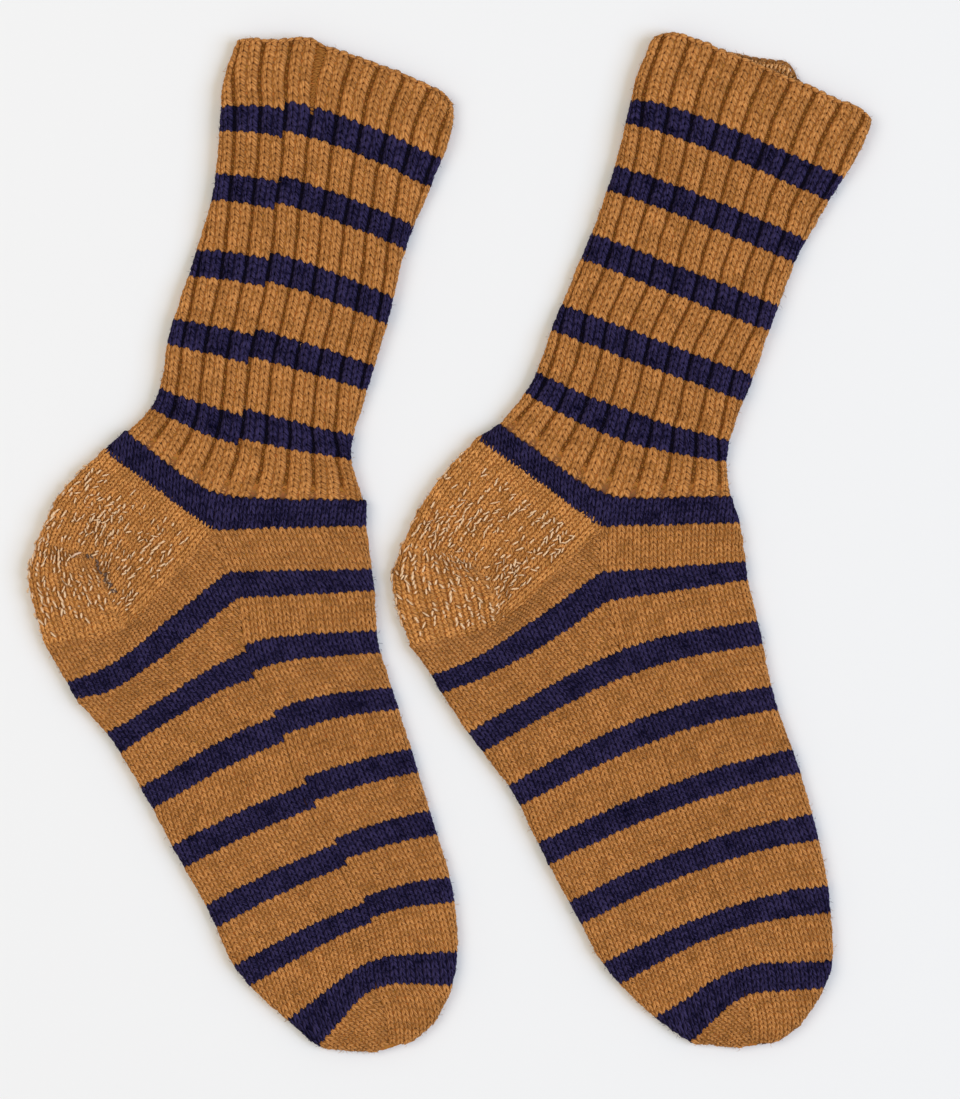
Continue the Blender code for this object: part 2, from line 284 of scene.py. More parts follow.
def rounds(courses, rows, sock=None):
    """The tubes of some rows; with a sock, its first rows follow the waves of the cuff's edge."""
    lines = row_lines(courses, rows)
    if sock is None:
        return [Round(line) for line in lines]
    first = row_lines(courses, (0, RIM_ROWS))
    share = np.r_[0, np.cumsum(np.linalg.norm(np.diff(first[0], axis=0), axis=1))]
    rim, lip = (np.interp(share / share[-1], *zip(*sock[name])) for name in ("rim", "lip"))
    up = np.subtract(*first)
    up /= np.linalg.norm(up, axis=1, keepdims=True)
    tubes = []
    for row, line in zip(rows, lines):
        fade = max(0.0, 1 - row / RIM_ROWS) ** RIM_FADE
        upper = line + up * (rim * fade)[:, None]
        lower = line + up * ((np.minimum(rim, LOWER_RIM) + lip) * fade)[:, None]
        tubes.append(Round(upper, below=lower))
    return tubes


print("the tube at row 30 is", round(2 * rounds(LEFT_LEG, [30])[0].half), "mm all round")

# %% [markdown]
# ## Charts
# A knitter's chart is a grid with one cell for each stitch. Here a chart is a grid of points on the
# cloth: row lines crossed by wales, the columns of stitches. It also keeps the way out of the cloth at
# each point, and how far the middle of each cell bulges past its corners, so that a stitch can be laid
# on round folds and round ribs. Cells of one colour become one mesh of loose quads.

# %% Chart helpers
NUDGE = 0.15  # millimetres that a hand-knitted stitch strays from its place
BESIDE = 0.3  # millimetres to both sides of a point, where the lie of the cloth is felt
rng = np.random.default_rng(7)


def outward(tubes, around, points):
    """The way out of the cloth at each point of a grid of rows."""
    across = np.array([tube.at(s + BESIDE) - tube.at(s - BESIDE) for tube, s in zip(tubes, around)])
    out = -np.cross(across, np.gradient(points, axis=0))
    return out / np.maximum(np.linalg.norm(out, axis=-1, keepdims=True), 1e-9)


def make_chart(tubes, around, depth=0.0, crown=0.0, nudge=NUDGE):
    """A grid of cells: around[row, column] are distances round each row's tube, depth sinks the points."""
    points = np.array([tube.at(s) for tube, s in zip(tubes, around)])
    out = outward(tubes, around, points)
    middle = np.array([tube.at((s[1:] + s[:-1]) / 2) for tube, s in zip(tubes, around)])
    chord = (points[:, 1:] + points[:, :-1]) / 2
    bulge = np.einsum("ijk,ijk->ij", middle - chord, (out[:, 1:] + out[:, :-1]) / 2)
    points = points - out * np.broadcast_to(depth, points.shape[:2])[..., None]
    points[..., :2] += rng.normal(0, nudge, points[..., :2].shape)
    return {"points": points, "out": out, "bulge": (bulge[1:] + bulge[:-1]) / 2 + crown,
            "around": (around[1:, 1:] + around[:-1, 1:] + around[1:, :-1] + around[:-1, :-1]) / 4}


def cells(chart, keep):
    """The kept cells as loose quads: places, ways out and bulges."""
    j, i = np.nonzero(keep)
    corner = [(j, i), (j, i + 1), (j + 1, i + 1), (j + 1, i)]
    return {"points": np.stack([chart["points"][c] for c in corner], axis=1),
            "out": np.stack([chart["out"][c] for c in corner], axis=1),
            "bulge": chart["bulge"][j, i]}


def stitches_in(charts):
    """How many cells are kept in some charts."""
    return sum(int(chart[1].sum()) for chart in charts)


STRIPES_FROM, STRIPES_TO, STRIPE_EVERY, STRIPE_ROWS = 10, 146, 11, 4  # counted in rows


def is_navy(row):
    """Whether a row is navy. The stripes come at even distances, and the toe's end is plain."""
    return (row >= STRIPES_FROM) & (row < STRIPES_TO) & ((row - STRIPES_FROM) % STRIPE_EVERY < STRIPE_ROWS)


print("navy rows:", [r for r in range(STRIPES_TO) if is_navy(r)][:12], "...")

# %% [markdown]
# ## The leg: ribs
# The leg is knitted two, purled one. The purled column sinks between the knitted pairs, so the leg shows
# round ribs with dark valleys; the purls and the cloth deep in the valleys are also coloured darker, as
# painted shade. The ribs are counted from one valley, whose place and pitch change a little down the
# leg, as in any hand-knitted and slightly stretched sock.

# %% Charts of the leg
VALLEY_LEAST, RELAXED_PITCH = 1.1, 9.6  # the narrowest purled valley, at the pitch of a relaxed rib
VALLEY_GROWTH = 0.25              # how much of a rib's stretch opens its valley
RIB_EDGE_DEPTH, RIB_SPLIT_DEPTH, RIB_CROWN = 1.5, 0.45, 0.40
DEEP_PURL, OPEN_PURL, LAST_PURL = -0.4, -0.25, 1.0  # where purls lie: deep, stretched open, and last of all
LAST_PURLS = 64                   # the row from which the purls rise to the plain knitting
RIBS = (-7, 10)                   # ribs counted from the anchor valley, enough to pass both folds
# The valley that the cuff's edge pulls open, and how far: 0 pulls none. It closes within OPEN_ROWS.
OPEN_VALLEY = {"left": (1, 3.5), "right": (1, 0.0)}
OPEN_ROWS = 10
RIM_DEPTH = 2.2                   # how far the first row bends down over the cuff's edge
WRAP = 2.0                        # how far stitches run under the folds
ANCHOR_COLUMNS = ("row", "valley", "pitch")
ANCHORS = {
    "left": ((0, 27.5, 11.6), (9, 28.1, 10.9), (14, 28.1, 10.3), (24, 28.1, 9.9), (31, 31.3, 9.8),
             (42, 35.3, 9.6), (53, 37.7, 9.7), (58, 41.3, 10.4), (65, 49.5, 12.5)),
    "right": ((0, 28.0, 11.4), (9, 27.7, 10.9), (17, 28.1, 9.8), (29, 28.4, 9.5), (36, 30.5, 9.6),
              (42, 29.9, 9.5), (48, 32.7, 9.3), (54, 33.9, 9.5), (58, 35.9, 10.2), (65, 40.6, 12.0)),
}
ANKLE_ROW, LEG_ROWS = 69, 65


def inside(chart, tubes, wrap=WRAP):
    """Which cells of a chart lie on the upper side or just round its folds."""
    low = np.array([-(pi / 2 * t.back + wrap) for t in tubes])
    high = np.array([t.half + pi / 2 * t.front + wrap for t in tubes])
    low, high = (low[1:] + low[:-1]) / 2, (high[1:] + high[:-1]) / 2
    return (chart["around"] > low[:, None]) & (chart["around"] < high[:, None])


def rib_charts(side):
    """The knitted wales, the deep and the open purled valleys of one leg, with their cells' rows."""
    rows = np.arange(LEG_ROWS + 2)
    tubes = rounds(SOCKS[side]["leg"], rows, SOCKS[side])
    at, valley, pitch = (np.array(column) for column in zip(*ANCHORS[side]))
    valley, pitch = np.interp(rows, at, valley), np.interp(rows, at, pitch)
    anchor = np.array([tube.over(v) for tube, v in zip(tubes, valley)])
    gap = VALLEY_LEAST + VALLEY_GROWTH * np.maximum(pitch - RELAXED_PITCH, 0)
    ribs = np.arange(*RIBS)
    start = anchor[:, None] + pitch[:, None] * ribs
    pulled, width = OPEN_VALLEY[side]
    pull = width * np.maximum(1 - rows / OPEN_ROWS, 0)[:, None]
    leaning = start - pull * (ribs < pulled)  # the ribs before the pulled valley lean back with its edge
    columns = np.stack([start - gap[:, None] / 2 - pull * (ribs <= pulled), leaning + gap[:, None] / 2,
                        leaning + pitch[:, None] / 2], axis=-1).reshape(len(rows), -1)
    depth = np.tile([RIB_EDGE_DEPTH, RIB_EDGE_DEPTH, RIB_SPLIT_DEPTH], len(ribs)) + np.zeros((len(rows), 1))
    depth[0] = RIM_DEPTH
    purl = np.tile([True, False, False], len(ribs))[:-1]
    row = rows[:-1, None]
    stretched = (np.repeat(ribs, 3)[:-1] == pulled) & (width > 0) & (row < OPEN_ROWS)
    opened = purl & (stretched | (row >= LAST_PURLS))
    crown = np.where(opened, OPEN_PURL, np.where(purl, DEEP_PURL, RIB_CROWN))
    crown[-1] = LAST_PURL         # they stand proud of the plain rows that follow
    chart = make_chart(tubes, columns, depth, crown=crown)
    right_of_anchor = np.broadcast_to(np.repeat(ribs >= 0, 3)[:-1], chart["bulge"].shape)
    shown = inside(chart, tubes)
    knitted = shown & ~purl & (row < LEG_ROWS)
    return chart, knitted, shown & purl & ~opened, shown & opened, row, right_of_anchor


leg_charts = {side: rib_charts(side) for side in SOCKS}
print("rib stitches:", {side: int(c[1].sum()) for side, c in leg_charts.items()})

# %% [markdown]
# ## The ankle, the foot and the toe: plain knitting
# Below the ribs the sock is plain. Most wales are counted from the knee line, where the rows turn, and
# run off under both folds. Beside the heel the wales follow the sole instead, and the extra ones end at
# the knee line: these are the gusset's decreases. At the toe the front wales run straight on and off
# under the fold, and the back ones lean over and end one by one at the knee line.

# %% Charts of the foot
WALE = 3.43                        # width of a plain wale
GUSSET_END, TOE_START, TOE_END = 92, 146, 157
HALF_WALES = (-9, 30)              # counted from the knee line: some beyond it, and enough to pass the fold
TUCK, TUCK_SLOPE = 0.3, 0.45       # a wale that ends tucks under the others: how many wales, how steeply
TOE_LEAN = 0.5                     # the toe's back wales lean this far from the knee line to their fold


def half_chart(tubes, rows, back, gusset_end=None, toe_start=None):
    """The back or front half of plain rows, as a chart, with the cells to keep."""
    reach = np.array([t.knee() if back else t.half - t.knee() for t in tubes])
    shift = np.zeros(len(rows))
    if gusset_end is not None:
        shift = np.where(rows < gusset_end, reach - np.interp(gusset_end, rows, reach), shift)
    if toe_start is not None:
        shift = np.where(rows > toe_start, TOE_LEAN * (reach - np.interp(toe_start, rows, reach)), shift)
    from_knee = np.arange(*HALF_WALES) * WALE + shift[:, None]
    knee = np.array([t.knee() for t in tubes])[:, None]
    around = knee - from_knee if back else knee + from_knee
    if back:
        around, from_knee = around[:, ::-1], from_knee[:, ::-1]
    chart = make_chart(tubes, around, depth=TUCK_SLOPE * np.maximum(-from_knee, 0))
    chart["from_knee"] = (from_knee[1:, 1:] + from_knee[:-1, :-1]) / 2
    keep = chart["from_knee"] > -TUCK * WALE
    return chart, keep & inside(chart, tubes)


def plain_charts(side):
    """The charts of the ankle stripe and the foot, with the rows of their cells."""
    ankle_rows = np.arange(LEG_ROWS, ANKLE_ROW + 1)
    foot_rows = np.arange(ANKLE_ROW, TOE_END + 1)
    ankle = rounds(SOCKS[side]["leg"], ankle_rows)
    foot = rounds(SOCKS[side]["foot"], foot_rows)
    made = []
    for back in (True, False):
        made.append((*half_chart(ankle, ankle_rows, back), ankle_rows[:-1, None], back))
        ends = (GUSSET_END, TOE_START) if back else ()
        made.append((*half_chart(foot, foot_rows, back, *ends), foot_rows[:-1, None], back))
    return made


foot_charts = {side: plain_charts(side) for side in SOCKS}
print("plain stitches:", {side: stitches_in(charts) for side, charts in foot_charts.items()})

# %% [markdown]
# ## The heel: flap and cap
# The heel is knitted back and forth, apart from the front of the sock: first a square flap that hangs
# from the ankle stripe, then the cap, which turns the corner under the heel. Each is a patch between
# four edges, and a Coons patch fills in the lines between them. The first line of the flap is the back
# half of the ankle stripe's last row.

# %% Charts of the heel
HEEL_EDGES = {
    "left": {
        "outline": ((-144.9, 38.4), (-162.9, 20.0), (-172.1, 0.8)),
        "last": ((-172.1, 0.8), (-151.2, -5.4), (-143.5, -19.0), (-137.0, -35.9)),
        "inner": ((-99.5, 5.0), (-117.0, -15.0), (-137.0, -35.9)),
        "cap_top": ((-172.1, 0.8), (-151.2, -5.4)),
        "cap_inner": ((-151.2, -5.4), (-143.5, -19.0), (-137.0, -35.9)),
        "cap_outline": ((-172.1, 0.8), (-176.2, -12.5), (-174.6, -24.5), (-169.1, -43.0)),
        "cap_last": ((-169.1, -43.0), (-153.0, -39.6), (-137.0, -35.9)),
    },
    "right": {
        "outline": ((10.6, 43.4), (-8.5, 21.0), (-20.2, -1.3)),
        "last": ((-20.2, -1.3), (8.1, -8.8), (17.0, -19.0), (19.4, -33.8)),
        "inner": ((62.4, 6.3), (41.5, -13.8), (19.4, -33.8)),
        "cap_top": ((-20.2, -1.3), (8.1, -8.8)),
        "cap_inner": ((8.1, -8.8), (17.0, -19.0), (19.4, -33.8)),
        "cap_outline": ((-20.2, -1.3), (-24.0, -12.0), (-23.0, -25.5), (-17.3, -43.0)),
        "cap_last": ((-17.3, -43.0), (1.0, -38.8), (19.4, -33.8)),
    },
}
FLAP_ROWS, FLAP_WALES = 25, 18
CAP_ROWS, CAP_WALES = 20, 9
PATCH_POINTS, TUCKED_ROW_DEPTH = 40, 0.9
FOLD_WALES = 3                     # wales that run on round the back fold
HEEL_NUDGE = 0.26                  # the heel is less even than the rest, because a thread runs with its yarn


def coons(top, bottom, left, right, rows):
    """Lines that turn the top edge into the bottom one between the left and right edges."""
    u = np.linspace(0, 1, PATCH_POINTS)[None, :, None]
    v = np.linspace(0, 1, rows + 1)[:, None, None]
    top, bottom = (even(through(edge), PATCH_POINTS)[None] for edge in (top, bottom))
    left, right = (even(through(edge), rows + 1)[:, None] for edge in (left, right))
    corners = ((1 - u) * (1 - v) * top[:, :1] + u * (1 - v) * top[:, -1:]
               + (1 - u) * v * bottom[:, :1] + u * v * bottom[:, -1:])
    return (1 - v) * top + v * bottom + (1 - u) * left + u * right - corners


def patch_chart(lines, wales):
    """A patch whose wales are shared out evenly from the back fold to its inner edge.

    One more wale at the inner edge and one more row at each end tuck under what lies next to them.
    """
    lines = np.concatenate([2 * lines[:1] - lines[1:2], lines, 2 * lines[-1:] - lines[-2:-1]])
    tubes = [Round(line, flat_end=True) for line in lines]
    inner = np.array([t.over(t.length) for t in tubes])[:, None]
    around = inner * np.arange(-FOLD_WALES, wales + 2) / wales
    depth = TUCK_SLOPE * np.maximum(around - inner, 0)
    depth[[0, -1]] += TUCKED_ROW_DEPTH
    chart = make_chart(tubes, around, depth, nudge=HEEL_NUDGE)
    low = np.array([-(pi / 2 * t.back + WRAP) for t in tubes[1:]])[:, None]
    return chart, chart["around"] > low


def heel_charts(side):
    edge = {name: np.array(points) - PAIR_CENTRE for name, points in HEEL_EDGES[side].items()}
    top = row_lines(SOCKS[side]["leg"], [ANKLE_ROW])[0][:BACK_POINTS]
    flap = coons(top, edge["last"], edge["outline"], edge["inner"], FLAP_ROWS)
    cap = coons(edge["cap_top"], edge["cap_last"], edge["cap_outline"], edge["cap_inner"], CAP_ROWS)
    return patch_chart(flap, FLAP_WALES), patch_chart(cap, CAP_WALES)


heel_patches = {side: heel_charts(side) for side in SOCKS}
print("heel stitches:", {side: [int(keep.sum()) for _, keep in p] for side, p in heel_patches.items()})

# %% [markdown]
# ## Underneath
# The under side lies on the ground and is pressed flat. Its rows go all the way round, so they also
# carry the inner shell of cloth later on. Its stitches may be coarser: they show only if the sock is
# picked up.

# %% Charts of the under side
UNDER_WALES, UNDER_RIBS, UNDER_OVERLAP, UNDER_START = 30, 9, 1.0, 0.35
UNDER_CORNERS, UNDER_DEPTHS = (0.05, 0.5, 0.95), (0.5, 0.1, 0.5)  # across one rib, and how deep each lies
LAST_STATION = TOE_END + HEEL_ROWS


def whole_courses(side):
    """Courses that go all the way round, from the cuff to the toe, past the heel.

    Their rows are called stations, because the heel's extra ones are counted in.
    """
    sock = SOCKS[side]
    foot = tuple((c[0] + HEEL_ROWS, *c[1:]) for c in sock["foot"][1:])
    return sock["leg"] + sock["heel"] + foot


def knitted_row(station):
    """The row of the stripes' count that a station belongs to."""
    return np.where(station < ANKLE_ROW, station, np.maximum(station - HEEL_ROWS, ANKLE_ROW))


def under_charts(side):
    stations = np.r_[UNDER_START, np.arange(1, LAST_STATION + 1)]
    tubes = rounds(whole_courses(side), stations, SOCKS[side])
    first = np.array([-(pi / 2 * t.back + UNDER_OVERLAP) for t in tubes])[:, None]
    last = np.array([-(t.half - pi / 2 * t.front - UNDER_OVERLAP) for t in tubes])[:, None]
    ribs = np.add.outer(np.arange(UNDER_RIBS), UNDER_CORNERS).ravel() / UNDER_RIBS
    ribbed = slice(0, LEG_ROWS + 1)
    depth = np.tile(UNDER_DEPTHS, UNDER_RIBS) + np.zeros((LEG_ROWS + 1, 1))
    depth[0] = RIM_DEPTH
    leg = make_chart(tubes[ribbed], (last + (first - last) * ribs)[ribbed], depth)
    plain = slice(LEG_ROWS, None)
    even_wales = np.arange(UNDER_WALES + 1) / UNDER_WALES
    foot = make_chart(tubes[plain], (last + (first - last) * even_wales)[plain])
    keep_leg = np.ones(leg["bulge"].shape, bool)
    keep_leg[:, 2::3] = False
    return (leg, keep_leg, stations[ribbed][:-1, None]), \
        (foot, np.ones(foot["bulge"].shape, bool), stations[plain][:-1, None])


under_rows = {side: under_charts(side) for side in SOCKS}
print("stitches underneath:", {side: stitches_in(charts) for side, charts in under_rows.items()})

# %% [markdown]
# ## The cuff's edge and inside
# The cast-on edge is a chain that runs round the opening, and behind it the inner face of the lower
# panel shows, where its edge stands out past the upper one. The chain is a ring of cells round the tube;
# the inside is a chart of the lower panel, moved in by the thickness of the cloth and turned over.

# %% Charts of the edge and the inside
CHAIN_LINKS, CHAIN_ROWS, CHAIN_DEPTH = 60, (-0.05, 0.5), 1.0
INSIDE_WALES, INSIDE_ROWS, INSIDE_DEPTH = 28, 6, 2.9
INSIDE_START, INSIDE_SPAN = 0.2, (-0.97, -0.03)  # its first row, and the shares of the tube it lies between


def edge_chart(side):
    tubes = rounds(SOCKS[side]["leg"], CHAIN_ROWS, SOCKS[side])
    around = np.array([t.half * np.linspace(-1, 1, CHAIN_LINKS + 1) for t in tubes])
    chart = make_chart(tubes, around, CHAIN_DEPTH)
    return chart, np.ones(chart["bulge"].shape, bool)


def inside_chart(side):
    tubes = rounds(SOCKS[side]["leg"], np.arange(INSIDE_ROWS + 1) + INSIDE_START, SOCKS[side])
    shares = np.linspace(*INSIDE_SPAN, INSIDE_WALES + 1)
    chart = make_chart(tubes, np.array([t.half * shares for t in tubes]), INSIDE_DEPTH)
    chart = {name: values[:, ::-1] for name, values in chart.items()}
    chart["out"] = -chart["out"]
    chart["bulge"] = -chart["bulge"]
    return chart, np.ones(chart["bulge"].shape, bool)


cuff_charts = {side: (edge_chart(side), inside_chart(side)) for side in SOCKS}
print("cells of the edge and the inside:", {s: [k.size for _, k in c] for s, c in cuff_charts.items()})

# %% [markdown]
# ## One stitch
# A knitted stitch shows two legs that lean towards each other. The socks were knitted from the cuff
# down, so the legs meet towards the cuff, like an upside-down V, and open towards the toe, where they
# dive under the next row. Each leg is a closed tube of a few dozen faces, because it is repeated twenty
# thousand times. Its place in the cell is kept in an attribute: across, along and out of the cloth.

# %% Build the stitch shapes
LEG_PATH = (  # across (from the stitch's middle, in wales), along (in rows), height in mm
    (0.04, -0.32, -0.45), (0.11, 0.00, 0.05), (0.22, 0.48, 0.22), (0.33, 0.95, 0.0), (0.38, 1.26, -0.60))
FLAT_PATH = ((0.06, -0.30, -0.25), (0.25, 0.50, 0.0), (0.38, 1.30, -0.25))
FLECK_PATH = ((0.04, -0.22, 0.40), (0.13, 0.08, 0.85), (0.26, 0.86, 0.85), (0.34, 1.22, 0.40))
LINK_PATH = ((-0.66, 0.30, -0.30), (-0.26, 0.50, 0.25), (0.26, 0.50, 0.25), (0.66, 0.70, -0.30))
PURL_PATHS = (  # the two small bars of a purled stitch, from one side of its valley to the other
    ((-0.66, 0.08, -0.50), (-0.24, 0.26, 0.10), (0.24, 0.26, 0.10), (0.66, 0.08, -0.50)),
    ((-0.66, 0.88, -0.50), (-0.24, 0.72, 0.10), (0.24, 0.72, 0.10), (0.66, 0.88, -0.50)))
DEEP_PATH = ((-0.70, 0.30, -0.30), (-0.20, 0.42, 0.10), (0.20, 0.58, 0.10), (0.70, 0.70, -0.30))


def put(name, data):
    """A new object in the scene."""
    obj = bpy.data.objects.new(name, data)
    bpy.context.scene.collection.objects.link(obj)
    return obj


def yarn(path, radius, sides, scale, squash=1.0):
    """A closed tube along a path in millimetres, its ends drawn to points, with yarn coordinates."""
    path = np.asarray(path, float) * scale
    verts, places, faces = [path[0]], [(0.5, 0.0, 0.0)], []
    inner = len(path) - 2
    for r in range(1, inner + 1):
        along = path[r + 1] - path[r - 1]
        along /= np.linalg.norm(along)
        side = np.cross(along, (0, 0, 1.0))
        side /= np.linalg.norm(side)
        up = np.cross(side, along)
        for k in range(sides):
            turn = tau * (k + 0.5) / sides - pi / 2
            verts.append(path[r] + radius * (cos(turn) * side + squash * sin(turn) * up))
            places.append(((k + 0.5) / sides, r / (inner + 1), 0.0))
    verts.append(path[-1])
    places.append((0.5, 1.0, 0.0))
    ring = lambda r, k: 1 + (r - 1) * sides + k % sides
    for k in range(sides):
        faces.append((0, ring(1, k), ring(1, k + 1)))
        for r in range(1, inner):
            faces.append((ring(r, k), ring(r + 1, k), ring(r + 1, k + 1), ring(r, k + 1)))
        faces.append((len(verts) - 1, ring(inner, k + 1), ring(inner, k)))
    return np.array(verts), np.array(places), faces


def stitch_object(name, parts, wale, row):
    """An object whose mesh is a stitch in one cell; the attribute shape holds each point's place."""
    verts, places, faces, start = [], [], [], 0
    for part_verts, part_places, part_faces in parts:
        verts.append(part_verts)
        places.append(part_places)
        faces += [tuple(start + v for v in face) for face in part_faces]
        start += len(part_verts)
    verts, places = np.vstack(verts), np.vstack(places)
    mesh = bpy.data.meshes.new(name)
    mesh.from_pydata((verts * MM).tolist(), [], faces)
    shape = np.c_[verts[:, 0] / wale + 0.5, verts[:, 1] / row, verts[:, 2]]
    mesh.attributes.new("shape", "FLOAT_VECTOR", "POINT").data.foreach_set("vector", shape.ravel())
    mesh.attributes.new("yarn", "FLOAT_VECTOR", "POINT").data.foreach_set("vector", places.ravel())
    return put(name, mesh)


def mirrored(path):
    return [(-x, y, z) for x, y, z in path]


RIB_CELL, PURL_CELL, PLAIN_CELL, LINK_CELL = (4.45, 2.84), (2.2, 2.84), (WALE, 2.55), (3.4, 1.6)
SHAPES = {  # a stitch's lengths of yarn, their radius, sides and squash, and its cell, in millimetres
    "rib": ((LEG_PATH, mirrored(LEG_PATH)), 0.96, 5, 1.0, RIB_CELL),
    "purl": (PURL_PATHS, 0.72, 4, 1.0, PURL_CELL),
    "deep": ((DEEP_PATH,), 0.85, 4, 1.0, PURL_CELL),
    "plain": ((LEG_PATH, mirrored(LEG_PATH)), 0.69, 5, 1.0, PLAIN_CELL),
    "under": ((FLAT_PATH, mirrored(FLAT_PATH)), 0.80, 4, 0.5, PLAIN_CELL),
    "link": ((LINK_PATH,), 0.85, 6, 1.0, LINK_CELL),
    "fleck_right": ((FLECK_PATH,), 0.44, 4, 1.0, PLAIN_CELL),
    "fleck_left": ((mirrored(FLECK_PATH),), 0.44, 4, 1.0, PLAIN_CELL),
}
stitches = {}
for shape_name, (paths, radius, sides, squash, cell_size) in SHAPES.items():
    strands = [yarn(path, radius, sides, (*cell_size, 1.0), squash) for path in paths]
    sunk = [(verts - (0, 0, radius), places, faces) for verts, places, faces in strands]
    stitches[shape_name] = stitch_object(f"{shape_name}_stitch", sunk, *cell_size)
print("faces in a stitch:", {name: len(o.data.polygons) for name, o in stitches.items()})

# %% [markdown]
# ## Knitting with Geometry Nodes
# The tree takes a chart and a stitch. Each cell becomes a point, each point gets a copy of the stitch,
# and then every vertex is moved from its place in the stitch (across, along, out) to the same place in
# its cell, blended from the cell's four corners. Copies that were only turned and scaled would leave
# gaps where the cloth bends; blending lets neighbouring stitches meet exactly.

# %% Build the knitting tree
ON_THE_GROUND = (-1.0, -1.0, 0.0)  # the least a point's place may be: no part reaches into the ground


def add(tree, kind, **settings):
    node = tree.nodes.new(kind)
    for name, value in settings.items():
        setattr(node, name, value)
    return node


def live(sockets, name):
    return next(s for s in sockets if s.name == name and s.enabled)


def calculate(tree, kind, operation, *values):
    """A math node of a kind, fed by sockets or plain values; the last output is returned."""
    node = add(tree, kind, operation=operation)
    for socket, value in zip([s for s in node.inputs if s.enabled], values):
        if isinstance(value, bpy.types.NodeSocket):
            tree.links.new(value, socket)
        else:
            socket.default_value = value
    return next(s for s in node.outputs if s.enabled)


def number(tree, operation, *values):
    return calculate(tree, "ShaderNodeMath", operation, *values)


def vector(tree, operation, *values):
    return calculate(tree, "ShaderNodeVectorMath", operation, *values)


def named(tree, name, kind):
    node = add(tree, "GeometryNodeInputNamedAttribute", data_type=kind)
    node.inputs["Name"].default_value = name
    return live(node.outputs, "Attribute")


def sample(tree, geometry, field, kind, domain, index):
    node = add(tree, "GeometryNodeSampleIndex", data_type=kind, domain=domain)
    tree.links.new(geometry, node.inputs["Geometry"])
    tree.links.new(field, live(node.inputs, "Value"))
    tree.links.new(index, node.inputs["Index"])
    return live(node.outputs, "Value")


def store(tree, geometry, name, kind, domain, value):
    node = add(tree, "GeometryNodeStoreNamedAttribute", data_type=kind, domain=domain)
    node.inputs["Name"].default_value = name
    tree.links.new(geometry, node.inputs["Geometry"])
    tree.links.new(value, live(node.inputs, "Value"))
    return node.outputs["Geometry"]


def combine(tree, value):
    """The same number in all three places of a vector."""
    node = add(tree, "ShaderNodeCombineXYZ")
    for socket in node.inputs:
        tree.links.new(value, socket)
    return node.outputs[0]


